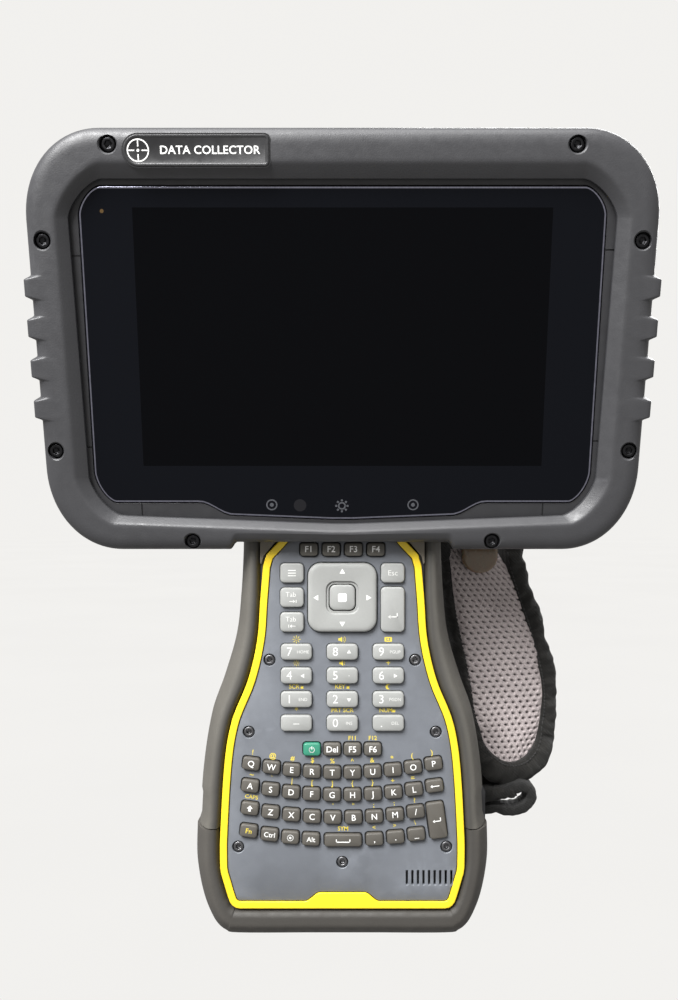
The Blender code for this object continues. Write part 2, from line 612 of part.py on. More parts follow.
def make_letter_keypad(frame, material):
    """One moulded silicone mat: a sheet behind the panel with every letter key standing on it."""
    front = -PANEL_THICK - GAP
    across = (MAT_HALF_WIDTH, 30, 16, -16, -30, -MAT_HALF_WIDTH)
    top = [(x, MAT_TOP + x * x / (2 * ROW_RADIUS)) for x in across]
    outline = [(-MAT_HALF_WIDTH, MAT_FOOT), (MAT_HALF_WIDTH, MAT_FOOT), *top]
    keys = letter_keys()
    bm = bmesh.new()
    bases = [rounded_box(width, height, 0.8, x, y, turn) for x, y, width, height, turn in keys]
    rim, *feet = flat_face_with_holes(bm, outline, bases, front)
    back = [bm.verts.new(point) for point in at_level(outline, front - 1.0)]
    ring_of_quads(bm, rim, back)
    bm.faces.new(back)
    for foot, (x, y, width, height, turn) in zip(feet, keys):
        shoulder = rounded_box(width, height, 0.8, x, y, turn)
        crown = rounded_box(width - 2 * KEY_BEVEL, height - 2 * KEY_BEVEL, 0.6, x, y, turn)
        sides = [bm.verts.new(point) for point in at_level(shoulder, KEY_PROUD - KEY_BEVEL)]
        top = [bm.verts.new(point) for point in at_level(crown, KEY_PROUD)]
        ring_of_quads(bm, foot, sides)
        ring_of_quads(bm, sides, top)
        bm.faces.new(top)
    place("letter_keypad", mesh_of("letter_keypad", bm), frame, material)


def make_panel_trim(frame, material):
    """The coloured band down both sides of the panel and along its foot, with the badge in its middle."""
    outer, inner = trim_outline(), panel_edge()
    bevel = 0.35
    loops = [at_level(outer, SHELL_FRONT + GAP), at_level(outer, TRIM_PROUD - bevel),
             at_level(inset(outer, bevel), TRIM_PROUD), at_level(inner, TRIM_PROUD),
             at_level(inner, SHELL_FRONT + GAP)]
    place("panel_trim", loft("panel_trim", list(zip(*loops))), frame, material)


def bumper_section(inner, outer):
    """The bumper's section at a pair of points: front face, outward slope, side and back."""
    def between(share, z):
        return (inner[0] + (outer[0] - inner[0]) * share, inner[1] + (outer[1] - inner[1]) * share, z)

    return [between(share, z) for share, z in BUMPER_SECTION]


def under_head(points):
    """The points at the neck's top, raised to follow the head's sloping underside."""
    return [(x, y + max(0, SHELL_FRONT - z) * NECK_RISE if y == NECK_TOP else y, z) for x, y, z in points]


def make_side_bumpers(frame, material):
    for name, side in (("right_bumper", 1), ("left_bumper", -1)):
        sections = []
        for height in BUMPER_HEIGHTS:
            inner = max(smooth_value(TRIM_LINE, min(height, TRIM_HEIGHTS[0])) + GAP, BUMPER_INNER_LEAST)
            outer = smooth_value(BUMPER_LINE, height)
            section = under_head(bumper_section((inner, height), (outer, height)))
            sections.append([(side * x, y, z) for x, y, z in section])
        place(name, loft(name, sections), frame, material)


def make_lower_bumper(frame, material):
    right = list(zip(BUMPER_FOOT_INNER, BUMPER_FOOT))
    left = [((-ix, iy), (-ox, oy)) for (ix, iy), (ox, oy) in reversed(right)]
    sections = [bumper_section(inner, outer) for inner, outer in right + left]
    place("lower_bumper", loft("lower_bumper", sections), frame, material)


def make_handle_shell(frame, material):
    """The handle's rear shell, a tray open to the front."""
    def raised(outline, z):
        top = max(y for _, y in outline)
        return [(x, NECK_TOP if y == top else y, z) for x, y in outline]

    trim = trim_outline()
    right_side = trim[len(TRIM_HEAD):len(trim) // 2]
    outer = inset(mirrored([(BUMPER_INNER_LEAST - GAP, NECK_TOP), *right_side]), SHELL_GAP)
    inner = inset(outer, SHELL_WALL)
    loops = [at_level(inner, SHELL_FLOOR), at_level(inner, SHELL_FRONT), at_level(outer, SHELL_FRONT)]
    loops += [under_head(raised(inset(outer, by), z))
              for by, z in ((0, -22.0), (2.4, -29.0), (6.5, SHELL_BACK))]
    place("handle_shell", loft("handle_shell", loops), frame, material)


def make_keypad_board(frame, material):
    heights = [height for height in TRIM_HEIGHTS if height > 34]
    outline = mirrored([(smooth_value(TRIM_LINE, height) - BOARD_MARGIN, height) for height in heights])
    loops = [at_level(outline, BOARD_FRONT - BOARD_THICK), at_level(outline, BOARD_FRONT)]
    place("keypad_board", loft("keypad_board", loops), frame, material)


def make_speaker(frame, material):
    rim = rounded_box(*SPEAKER_RIM, 2.0, *SPEAKER_MIDDLE, steps=2)
    cone = rounded_box(*SPEAKER_CONE, 2.0, *SPEAKER_MIDDLE, steps=2)
    back, step, front = SPEAKER_LEVELS
    loops = [at_level(cone, back), at_level(cone, step), at_level(rim, step), at_level(rim, front)]
    place("speaker", loft("speaker", loops), frame, material)


def make_mount_plate(frame, material):
    width, height = MOUNT_SIZE
    outline = rounded_box(width, height, 5.0, 0, MOUNT_HEIGHT, steps=3)
    edge = rounded_box(width - 2 * MOUNT_BEVEL, height - 2 * MOUNT_BEVEL, 4.6, 0, MOUNT_HEIGHT, steps=3)
    loops = [at_level(outline, SHELL_BACK - GAP), at_level(outline, MOUNT_BEVEL - BODY_DEPTH),
             at_level(edge, -BODY_DEPTH)]
    place("mount_plate", loft("mount_plate", loops), frame, material)


# ---------------------------------------------------------------- hand strap

def make_strap_anchors(frame, material):
    """Flat brackets behind the bumper that the strap is sewn round."""
    for name, (*span, back) in (("strap_top_anchor", TOP_ANCHOR), ("strap_bottom_anchor", BOTTOM_ANCHOR)):
        outline = span_box(*span)
        place(name, loft(name, [at_level(outline, back), at_level(outline, ANCHOR_FRONT)]), frame, material)


def strap_section(height, left_x, left_z, right_x, right_z, thickness):
    """A flat oval between the pad's two edges."""
    middle = ((left_x + right_x) / 2, (left_z + right_z) / 2)
    half = math.hypot(right_x - left_x, right_z - left_z) / 2
    across = ((right_x - left_x) / (2 * half), (right_z - left_z) / (2 * half))
    points = []
    for x, y in rounded_box(2 * half, thickness, thickness * 0.45, steps=2):
        points.append((middle[0] + across[0] * x - across[1] * y, height,
                       middle[1] + across[1] * x + across[0] * y))
    return points


def make_strap_pad(frame, material):
    first, last = STRAP_STATIONS[0], STRAP_STATIONS[-1]
    end_thick = STRAP_THICK * STRAP_END_SHARE
    sections = [strap_section(first[0] + 2, *first[1:], end_thick)]
    sections += [strap_section(*station, STRAP_THICK) for station in STRAP_STATIONS]
    sections.append(strap_section(last[0] - 1.2, last[1] + 1, last[2], last[3] - 1, last[4], end_thick))
    place("strap_pad", loft("strap_pad", sections), frame, material)


def make_strap_webbing(frame, material):
    """The flat band from the pad's lower end back to the lower bracket."""
    sections = []
    for i, (x, y) in enumerate(WEBBING_PATH):
        (ax, ay), (bx, by) = WEBBING_PATH[max(i - 1, 0)], WEBBING_PATH[min(i + 1, len(WEBBING_PATH) - 1)]
        length = math.hypot(bx - ax, by - ay)
        out_x, out_y = (by - ay) / length * WEBBING_THICK / 2, -(bx - ax) / length * WEBBING_THICK / 2
        back, front = WEBBING_SPAN
        sections.append([(x + out_x, y + out_y, back), (x + out_x, y + out_y, front),
                         (x - out_x, y - out_y, front), (x - out_x, y - out_y, back)])
    place("strap_webbing", loft("strap_webbing", sections), frame, material)


def main():
    clear_scene()
    keypad = make_frame("keypad_frame", 0.0, 0.0, 0.0)
    display = make_frame("display_frame", SCREEN_HEIGHT, SCREEN_AHEAD, SCREEN_TILT)

    guard_plastic = make_material("guard_plastic", (0.115, 0.115, 0.12), 0.55)
    black_plastic = make_material("black_plastic", (0.05, 0.05, 0.052), 0.45)
    black_steel = make_material("black_steel", (0.03, 0.03, 0.032), 0.35, 1.0)
    bumper_rubber = make_material("bumper_rubber", (0.14, 0.135, 0.115), 0.7)
    panel_plastic = make_material("panel_plastic", (0.16, 0.18, 0.21), 0.45)
    trim_yellow = make_material("trim_yellow", (0.95, 0.83, 0.03), 0.35)
    glass = make_material("cover_glass", (0.006, 0.007, 0.009), 0.05)
    lcd = make_material("lcd", (0.01, 0.01, 0.012), 0.3)
    circuit = make_material("circuit_board", (0.02, 0.12, 0.05), 0.5)
    plate_metal = make_material("mount_metal", (0.25, 0.25, 0.26), 0.4, 1.0)
    anchor_plastic = make_material("anchor_plastic", (0.45, 0.38, 0.27), 0.3)
    mesh_fabric = make_material("strap_fabric", (0.1, 0.09, 0.09), 0.9)
    webbing = make_material("strap_webbing", (0.02, 0.02, 0.02), 0.85)
    keys = {"light_key": make_material("light_key", (0.6, 0.61, 0.58), 0.5),
            "dark_key": make_material("dark_key", (0.19, 0.175, 0.14), 0.55),
            "green_key": make_material("green_key", (0.02, 0.45, 0.29), 0.45)}

    cutter = make_screw_cutter(display, black_steel)
    make_front_guard(display, guard_plastic, cutter)
    make_rear_guard(display, guard_plastic, cutter)
    make_guard_screws(display, black_steel)
    make_display_housing(display, black_plastic)
    make_display_glass(display, glass)
    make_lcd_panel(display, lcd)
    make_main_board(display, circuit)
    make_batteries(display, black_plastic)
    make_battery_latches(display, guard_plastic)
    make_port_cover(display, bumper_rubber)

    make_handle_shell(keypad, guard_plastic)
    make_keypad_panel(keypad, panel_plastic)
    make_panel_trim(keypad, trim_yellow)
    make_letter_keypad(keypad, keys["dark_key"])
    make_moving_keys(keypad, keys)
    make_direction_pad(keypad, keys)
    make_keypad_board(keypad, circuit)
    make_speaker(keypad, black_plastic)
    make_side_bumpers(keypad, bumper_rubber)
    make_lower_bumper(keypad, bumper_rubber)
    make_mount_plate(keypad, plate_metal)
    make_strap_anchors(keypad, anchor_plastic)
    make_strap_pad(keypad, mesh_fabric)
    make_strap_webbing(keypad, webbing)


main()
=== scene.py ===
"""Looks of the handheld data collector: fine meshes, legends, fabrics and materials round its CAD frame.

Pieces are drawn in millimetres in one of two frames. The keypad frame has x across, y up from the handle's
lower end and z out of the panel. The display frame has x across, y up the screen and z out of the screen.
"""

import json
import math

import bmesh
import bpy
from mathutils import Matrix, Vector, noise
from mathutils.bvhtree import BVHTree

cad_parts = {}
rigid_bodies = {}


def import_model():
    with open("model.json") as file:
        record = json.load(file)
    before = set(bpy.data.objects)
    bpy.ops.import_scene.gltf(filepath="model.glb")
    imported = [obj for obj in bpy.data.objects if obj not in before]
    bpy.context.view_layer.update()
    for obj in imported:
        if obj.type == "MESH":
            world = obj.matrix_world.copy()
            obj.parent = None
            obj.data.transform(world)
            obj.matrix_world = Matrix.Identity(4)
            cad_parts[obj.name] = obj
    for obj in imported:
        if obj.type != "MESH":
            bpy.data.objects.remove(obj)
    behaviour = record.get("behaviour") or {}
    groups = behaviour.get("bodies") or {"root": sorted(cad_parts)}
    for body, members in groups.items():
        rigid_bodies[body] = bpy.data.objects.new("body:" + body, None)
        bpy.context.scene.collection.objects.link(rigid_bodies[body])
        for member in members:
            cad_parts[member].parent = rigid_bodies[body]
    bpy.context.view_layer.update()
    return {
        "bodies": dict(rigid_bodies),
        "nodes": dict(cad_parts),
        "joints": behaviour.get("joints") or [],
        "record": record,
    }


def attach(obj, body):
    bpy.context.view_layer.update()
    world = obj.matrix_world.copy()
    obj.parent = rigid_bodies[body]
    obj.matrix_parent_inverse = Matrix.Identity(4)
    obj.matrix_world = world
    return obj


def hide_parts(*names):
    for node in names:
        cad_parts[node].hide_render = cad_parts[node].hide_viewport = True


MM = 0.001
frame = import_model()
nodes = frame["nodes"]

# Where the two drawing frames stand, from the bracket face at the back
BODY_DEPTH = 36.5
MOUNT_HEIGHT = 142.0
SCREEN_HEIGHT = 231.1
SCREEN_AHEAD = 19.2
SCREEN_TILT = 13.0


def drawing_frame(height, ahead, tilt):
    at = Matrix.Translation((0, -(BODY_DEPTH + ahead) * MM, (height - MOUNT_HEIGHT) * MM))
    return at @ Matrix.Rotation(math.radians(90 + tilt), 4, "X") @ Matrix.Scale(MM, 4)


KEYPAD = drawing_frame(0.0, 0.0, 0.0)
DISPLAY = drawing_frame(SCREEN_HEIGHT, SCREEN_AHEAD, SCREEN_TILT)


# ---------------------------------------------------------------- materials

MATERIALS = {}


class Nodes:
    """A material with its Principled shader and short ways to add and join nodes."""

    def __init__(self, name, colour, roughness, metallic=0.0, specular=0.5):
        self.material = MATERIALS[name] = bpy.data.materials.new(name)
        self.material.use_nodes = True
        self.tree = self.material.node_tree
        self.shader = self.tree.nodes["Principled BSDF"]
        self.shader.inputs["Base Color"].default_value = (*colour, 1.0)
        self.shader.inputs["Roughness"].default_value = roughness
        self.shader.inputs["Metallic"].default_value = metallic
        self.shader.inputs["Specular IOR Level"].default_value = specular
        self.place = self.add("ShaderNodeTexCoord").outputs["Object"]

    def add(self, kind, **settings):
        node = self.tree.nodes.new(kind)
        for key, value in settings.items():
            setattr(node, key, value)
        return node

    def link(self, output, socket):
        self.tree.links.new(output, socket)

    def noise(self, period, detail=3.0, rough=0.5, stretch=None):
        """Soft noise whose features are about that many millimetres across."""
        node = self.add("ShaderNodeTexNoise")
        node.inputs["Scale"].default_value = 1 / (period * MM)
        node.inputs["Detail"].default_value = detail
        node.inputs["Roughness"].default_value = rough
        place = self.place
        if stretch:
            mapping = self.add("ShaderNodeMapping")
            mapping.inputs["Scale"].default_value = stretch
            self.link(place, mapping.inputs["Vector"])
            place = mapping.outputs["Vector"]
        self.link(place, node.inputs["Vector"])
        return node.outputs["Fac"]

    def span(self, value, low, high, to_low, to_high):
        node = self.add("ShaderNodeMapRange")
        for socket, number in zip(("From Min", "From Max", "To Min", "To Max"), (low, high, to_low, to_high)):
            node.inputs[socket].default_value = number
        self.link(value, node.inputs["Value"])
        return node.outputs["Result"]

    def tone(self, value, dark, light, low=0.3, high=0.7):
        """A colour between two, by a value."""
        ramp = self.add("ShaderNodeValToRGB")
        ramp.color_ramp.elements[0].position = low
        ramp.color_ramp.elements[1].position = high
        ramp.color_ramp.elements[0].color = (*dark, 1)
        ramp.color_ramp.elements[1].color = (*light, 1)
        self.link(value, ramp.inputs["Fac"])
        return ramp.outputs["Color"]

    def mix(self, value, first, second, blend="MIX"):
        node = self.add("ShaderNodeMix", data_type="RGBA", blend_type=blend)
        self.link(value, node.inputs["Factor"])
        for socket, colour in (("A", first), ("B", second)):
            target = [i for i in node.inputs if i.name == socket and i.type == "RGBA"][0]
            if isinstance(colour, (tuple, list)):
                target.default_value = (*colour, 1)
            else:
                self.link(colour, target)
        return [o for o in node.outputs if o.type == "RGBA"][0]

    def maths(self, operation, *values):
        node = self.add("ShaderNodeMath", operation=operation)
        for i, value in enumerate(values):
            if isinstance(value, (int, float)):
                node.inputs[i].default_value = value
            else:
                self.link(value, node.inputs[i])
        return node.outputs[0]

    def edges(self, low=0.52, high=0.62):
        """1 along worn outer edges."""
        worn = self.add("ShaderNodeNewGeometry").outputs["Pointiness"]
        return self.span(worn, low, high, 0.0, 1.0)

    def colour(self, output):
        self.link(output, self.shader.inputs["Base Color"])

    def rough(self, value, low, high):
        self.link(self.span(value, 0.3, 0.7, low, high), self.shader.inputs["Roughness"])

    def bump(self, height, depth, strength=1.0):
        """Surface relief of about that many millimetres."""
        node = self.add("ShaderNodeBump")
        node.inputs["Strength"].default_value = strength
        node.inputs["Distance"].default_value = depth * MM
        self.link(height, node.inputs["Height"])
        self.link(node.outputs["Normal"], self.shader.inputs["Normal"])


def shade(colour, share):
    return tuple(min(1.0, channel * share) for channel in colour)


def moulded(name, colour, roughness, grain=0.55, depth=0.035, mottle=0.08, worn=0.25, flank=None):
    """Moulded plastic or rubber: spark texture, slow mottling, uneven gloss and edges rubbed lighter.

    A flank gives the share of the colour that shows where the mesh is marked as flank: painted shade,
    standing in for the shade in a groove."""
    m = Nodes(name, colour, roughness)
    slow = m.noise(14.0, detail=4.0)
    fine = m.noise(grain, detail=2.0)
    base = m.tone(slow, shade(colour, 1 - mottle), shade(colour, 1 + mottle))
    base = m.mix(m.span(fine, 0.35, 0.7, 0.0, 0.5), base, shade(colour, 1 - 1.6 * mottle))
    rub = m.maths("MULTIPLY", m.edges(), m.span(m.noise(5.0, detail=5.0), 0.42, 0.62, 0.0, worn))
    whole = m.mix(rub, base, shade(colour, 2.4))
    if flank:
        # Painted shade: the marked flank is darkened for the shade in the groove beside the band.
        marked = m.add("ShaderNodeAttribute", attribute_name="flank").outputs["Fac"]
        whole = m.mix(marked, whole, shade(colour, flank))
    m.colour(whole)
    m.rough(m.noise(3.0, detail=4.0), roughness - 0.07, roughness + 0.08)
    m.bump(fine, depth)
    return m


def painted(name, colour, roughness, specular=0.5):
    """Ink on a key or a panel, or a flat black that is painted shade in a groove or a socket: even, slightly
    matt, thin in places.
    """
    m = Nodes(name, colour, roughness, specular=specular)
    m.colour(m.tone(m.noise(0.9, detail=3.0), shade(colour, 0.86), colour, 0.25, 0.5))
    m.rough(m.noise(0.5), roughness - 0.05, roughness + 0.1)


def metal(name, colour, roughness, grain=0.5):
    m = Nodes(name, colour, roughness, metallic=1.0)
    brushed = m.noise(grain, detail=3.0, stretch=(1.0, 1.0, 0.12))
    m.colour(m.tone(brushed, shade(colour, 0.8), shade(colour, 1.15)))
    m.rough(m.noise(2.0, detail=4.0), roughness - 0.06, roughness + 0.12)
    m.bump(brushed, 0.01)


def woven(name, colour, pitch, depth):
    """Webbing or binding tape: two crossed sets of threads."""
    m = Nodes(name, colour, 0.85, specular=0.25)
    waves = []
    for turn in (35, -55):
        mapping = m.add("ShaderNodeMapping")
        mapping.inputs["Rotation"].default_value = (math.radians(turn), math.radians(20), math.radians(turn))
        m.link(m.place, mapping.inputs["Vector"])
        wave = m.add("ShaderNodeTexWave")
        wave.inputs["Scale"].default_value = 1 / (pitch * MM) / 3.2
        wave.inputs["Distortion"].default_value = 1.2
        wave.inputs["Detail"].default_value = 1.0
        m.link(mapping.outputs["Vector"], wave.inputs["Vector"])
        waves.append(wave.outputs["Fac"])
    threads = m.maths("MAXIMUM", *waves)
    fuzz = m.noise(0.35, detail=3.0)
    m.colour(m.mix(m.span(m.noise(5.0, detail=5.0, rough=0.65), 0.4, 0.66, 0.0, 0.6),
                   m.tone(threads, shade(colour, 0.82), shade(colour, 1.1), 0.1, 0.9), shade(colour, 2.5)))
    m.bump(m.maths("ADD", m.maths("MULTIPLY", threads, 0.5), fuzz), depth)
    m.shader.inputs["Sheen Weight"].default_value = 0.08
    m.shader.inputs["Sheen Roughness"].default_value = 0.6


LCD_HALF = (75.4, 47.1)
BORDER_BLACK = (0.0034, 0.0038, 0.0053)
WINDOW_BLACK = (0.0012, 0.0013, 0.0018)


def glass_material():
    """Black cover glass: the lit window is a shade darker than the printed border round it."""
    m = Nodes("cover_glass", BORDER_BLACK, 0.045, specular=0.07)
    parts = m.add("ShaderNodeSeparateXYZ")
    m.link(m.place, parts.inputs["Vector"])
    slope = math.cos(math.radians(SCREEN_TILT))
    across = m.maths("LESS_THAN", m.maths("ABSOLUTE", parts.outputs["X"]), LCD_HALF[0] * MM)
    up = m.maths("ABSOLUTE", m.maths("SUBTRACT", parts.outputs["Z"], DISPLAY.translation.z))
    inside = m.maths("MULTIPLY", across, m.maths("LESS_THAN", up, LCD_HALF[1] * slope * MM))
    m.colour(m.mix(inside, BORDER_BLACK, WINDOW_BLACK))
    smear = m.noise(22.0, detail=5.0, rough=0.6)
    m.rough(smear, 0.03, 0.085)


def circuit_material():
    m = Nodes("circuit_board", (0.01, 0.09, 0.035), 0.4)
    voronoi = m.add("ShaderNodeTexVoronoi", feature="DISTANCE_TO_EDGE")
    voronoi.inputs["Scale"].default_value = 240
    m.link(m.place, voronoi.inputs["Vector"])
    m.colour(m.tone(voronoi.outputs["Distance"], (0.03, 0.17, 0.07), (0.008, 0.075, 0.03), 0.02, 0.1))
    m.bump(voronoi.outputs["Distance"], 0.05)


MESH_COLOUR = (0.49, 0.43, 0.425)
MESH_HOLE = (0.030, 0.026, 0.028)


def mesh_material():
    """Grey-mauve spacer mesh: darker down in its holes, with a fine knit on its face."""
    m = Nodes("mesh_fabric", MESH_COLOUR, 0.85, specular=0.2)
    hole = m.add("ShaderNodeAttribute", attribute_name="hole").outputs["Fac"]
    knit = m.noise(0.45, detail=2.0, rough=0.7)
    face = m.tone(knit, shade(MESH_COLOUR, 0.62), shade(MESH_COLOUR, 1.3), 0.32, 0.66)
    face = m.mix(m.span(m.noise(16.0, detail=4.0), 0.35, 0.7, 0.0, 0.35), face, shade(MESH_COLOUR, 0.6))
    m.colour(m.mix(hole, face, MESH_HOLE))
    m.bump(knit, 0.16)
    m.shader.inputs["Sheen Weight"].default_value = 0.15
    m.shader.inputs["Sheen Roughness"].default_value = 0.5


def amber_material():
    """The translucent moulded tab."""
    shader = moulded("anchor_plastic", (0.155, 0.108, 0.064), 0.24, grain=0.8, depth=0.02, worn=0.1).shader
    shader.inputs["Subsurface Weight"].default_value = 0.35
    shader.inputs["Subsurface Scale"].default_value = 0.004
    shader.inputs["Coat Weight"].default_value = 0.4


def make_materials():
    moulded("guard_plastic", (0.041, 0.041, 0.044), 0.44, grain=0.6, depth=0.045, worn=0.3)
    metal("screw_steel", (0.035, 0.035, 0.037), 0.32)
    moulded("black_plastic", (0.045, 0.045, 0.048), 0.42, grain=0.5, depth=0.025)
    moulded("battery_plastic", (0.04, 0.04, 0.043), 0.5, grain=0.9, depth=0.06)
    glass_material()
    metal("glass_edge", (0.30, 0.30, 0.37), 0.10)
    moulded("ledge_plastic", (0.022, 0.022, 0.024), 0.4, grain=0.5, depth=0.02, worn=0.1)
    moulded("lcd", (0.01, 0.01, 0.012), 0.3)
    circuit_material()
    moulded("panel_plastic", (0.125, 0.134, 0.150), 0.5, grain=0.5, depth=0.02, mottle=0.04, worn=0.15)
    moulded("trim_yellow", (0.80, 0.575, 0.020), 0.34, grain=0.9, depth=0.01, mottle=0.03, worn=0.0)
    moulded("key_silicone", (0.074, 0.068, 0.058), 0.52, grain=0.45, depth=0.02, worn=0.2)
    moulded("dark_key", (0.080, 0.074, 0.063), 0.52, grain=0.45, depth=0.02, worn=0.2)
    moulded("light_key", (0.27, 0.274, 0.264), 0.5, grain=0.6, depth=0.015, mottle=0.04, worn=0.0)
    moulded("green_key", (0.032, 0.205, 0.130), 0.42, grain=0.5, depth=0.015, worn=0.0)
    # The flank shares paint shade on the bumpers' inner flanks, beside the band.
    moulded("bumper_rubber", (0.098, 0.092, 0.080), 0.62, grain=0.7, depth=0.045, mottle=0.1, worn=0.35,
            flank=0.42)
    # The foot rubber is a darker copy of the bumper rubber: painted shade for the foot that faces down.
    moulded("foot_rubber", (0.062, 0.057, 0.050), 0.66, grain=0.7, depth=0.045, mottle=0.1, worn=0.25,
            flank=0.6)
    moulded("port_rubber", (0.035, 0.035, 0.036), 0.7, grain=0.8, depth=0.06)
    metal("mount_metal", (0.50, 0.50, 0.51), 0.36, grain=0.3)
    metal("panel_screw", (0.16, 0.16, 0.165), 0.38)
    amber_material()
    mesh_material()
    woven("strap_binding", (0.0098, 0.0093, 0.0082), 0.9, 0.32)
    woven("strap_cover", (0.030, 0.029, 0.028), 0.8, 0.15)
    woven("strap_webbing", (0.009, 0.0088, 0.0082), 0.9, 0.4)
    woven("thread", (0.03, 0.03, 0.03), 0.3, 0.1)
    painted("white_ink", (0.74, 0.74, 0.72), 0.5)
    painted("pale_ink", (0.62, 0.62, 0.60), 0.5)
    painted("yellow_ink", (0.66, 0.52, 0.06), 0.5)
    # Painted shade: a flat black for the groove round the plaque.
    painted("groove_shade_black", (0.012, 0.012, 0.013), 0.4)
    # Painted shade: a flat black for the depth inside the sockets' mouths.
    painted("socket_shade_black", (0.003, 0.003, 0.003), 0.85, specular=0.02)
    moulded("filler", (0.15, 0.133, 0.103), 0.55, grain=0.7, depth=0.03, worn=0.1)
    moulded("plaque_plastic", (0.020, 0.020, 0.021), 0.4, depth=0.02, worn=0.1)
    painted("mark_grey", (0.06, 0.062, 0.07), 0.3)
    moulded("lens", (0.004, 0.004, 0.006), 0.08, mottle=0.02, worn=0.0)
    painted("amber_light", (0.07, 0.038, 0.008), 0.3)


# ---------------------------------------------------------------- mesh helpers

def link_object(name, data):
    obj = bpy.data.objects.new(name, data)
    bpy.context.scene.collection.objects.link(obj)
    return obj


def as_mesh(bm, name):
    mesh = bpy.data.meshes.new(name)
    bm.to_mesh(mesh)
    bm.free()
    return mesh


def add_bm(bm, part):
    """Adds one drawing to another."""
    mesh = as_mesh(part, "part")
    bm.from_mesh(mesh)
    bpy.data.meshes.remove(mesh)


def soften(obj):
    """One level of subdivision."""
    soft = obj.modifiers.new("soft", "SUBSURF")
    soft.levels = soft.render_levels = 1


def finish_mesh(mesh, sharp=34):
    mesh.shade_smooth()
    mesh.set_sharp_from_angle(angle=math.radians(sharp))


def add_piece(name, bm, place, material, slot=None, body="housing", replaces=(), sharp=34):
    """Adds a piece drawn in millimetres, riding on its body and standing for the CAD nodes named.

    Its slot argument is not used."""
    slot = slot or material
    bmesh.ops.recalc_face_normals(bm, faces=bm.faces[:])
    bm.transform(place)
    mesh = as_mesh(bm, name)
    finish_mesh(mesh, sharp)
    mesh.materials.append(MATERIALS[material])
    obj = link_object(name, mesh)
    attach(obj, body)
    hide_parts(*replaces)
    return obj


def ring_of_quads(bm, first, second):
    for i in range(len(first)):
        bm.faces.new((first[i - 1], first[i], second[i], second[i - 1]))


def add_loft(bm, loops, closed=False, capped=True):
    """Skins loops of equally many points: a closed ring of them, or a row with a face at each end."""
    rings = [[bm.verts.new(point) for point in loop] for loop in loops]
    for first, second in zip(rings, rings[1:]):
        ring_of_quads(bm, first, second)
    if closed:
        ring_of_quads(bm, rings[-1], rings[0])
    elif capped:
        bm.faces.new(rings[0])
        bm.faces.new(rings[-1])


def loft(loops, closed=False):
    bm = bmesh.new()
    add_loft(bm, loops, closed)
    return bm


def rounded_track(track, radii, steps, closed):
    """One line across the loops, with a curve in place of each corner that has a radius."""
    points = []
    count = len(track)
    for i, radius in enumerate(radii):
        here = track[i]
        at_end = not closed and i in (0, count - 1)
        if at_end or not radius:
            points.append(here)
            continue
        ends = []
        for other in (track[i - 1], track[(i + 1) % count]):
            gap = other - here
            reach = min(radius, 0.48 * gap.length)
            ends.append(here + gap.normalized() * reach if gap.length > 1e-6 else here)
        for step in range(steps + 1):
            t = step / steps
            points.append(ends[0] * (1 - t) ** 2 + here * (2 * t * (1 - t)) + ends[1] * t**2)
    return points


def filleted(loops, radii, steps=3, closed=False):
    """The same skin with its lengthwise edges rounded, each by its own radius."""
    tracks = zip(*[[Vector(point) for point in loop] for loop in loops])
    return list(zip(*[rounded_track(track, radii, steps, closed) for track in tracks]))


def at_level(outline, z):
    return [(x, y, z) for x, y in outline]


def levels(*pairs):
    """Loops from (outline, height) pairs."""
    return [at_level(outline, z) for outline, z in pairs]


def arc(x, y, radius, start, end, steps, stretch=1.0, power=2.0):
    """Points round a centre between two angles. Stretch is height over width; a power under 2 flattens."""
    points = []
    for i in range(steps + 1):
        turn = math.radians(start + (end - start) * i / steps)
        across, up = math.cos(turn), math.sin(turn)
        points.append((x + radius * math.copysign(abs(across) ** (2 / power), across),
                       y + radius * stretch * math.copysign(abs(up) ** (2 / power), up)))
    return points


def rounded_box(width, height, radius, x=0.0, y=0.0, turn=0.0, steps=6):
    across, up = width / 2 - radius, height / 2 - radius
    points = []
    for i, (side_x, side_y) in enumerate(((1, 1), (-1, 1), (-1, -1), (1, -1))):
        points += arc(side_x * across, side_y * up, radius, 90 * i, 90 * i + 90, steps)
    cos, sin = math.cos(turn), math.sin(turn)
    return [(x + px * cos - py * sin, y + px * sin + py * cos) for px, py in points]


def circle(x, y, radius, steps=36):
    return [(x + radius * math.cos(2 * math.pi * i / steps), y + radius * math.sin(2 * math.pi * i / steps))
            for i in range(steps)]


def smooth_value(knots, at):
    """The curve through (height, width) knots, top first: a cubic between each two."""
    for i in range(len(knots) - 1):
        if at >= knots[i + 1][0] - 1e-6:
            break
    before, after = knots[max(i - 1, 0)], knots[min(i + 2, len(knots) - 1)]
    (h0, w0), (h1, w1) = knots[i], knots[i + 1]
    slope0 = (w1 - before[1]) / (h1 - before[0])
    slope1 = (after[1] - w0) / (after[0] - h0)
    run = h1 - h0
    t = (at - h0) / run
    return ((2 * t**3 - 3 * t**2 + 1) * w0 + (t**3 - 2 * t**2 + t) * run * slope0
            + (3 * t**2 - 2 * t**3) * w1 + (t**3 - t**2) * run * slope1)


def smooth_path(points, steps):
    """A smooth line through all the points, that many pieces between each two."""
    points = [Vector(point) for point in points]
    path = []
    for i in range(len(points) - 1):
        before, after = points[max(i - 1, 0)], points[min(i + 2, len(points) - 1)]
        first, second = points[i], points[i + 1]
        for step in range(steps):
            t = step / steps
            path.append(0.5 * (2 * first + (second - before) * t
                               + (2 * before - 5 * first + 4 * second - after) * t**2
                               + (3 * first - before - 3 * second + after) * t**3))
    return [*path, points[-1]]


def smooth_step(low, high, at):
    t = min(max((at - low) / (high - low), 0), 1)
    return t * t * (3 - 2 * t)


def mirrored(half):
    return list(half) + [(-x, y) for x, y in reversed(half)]


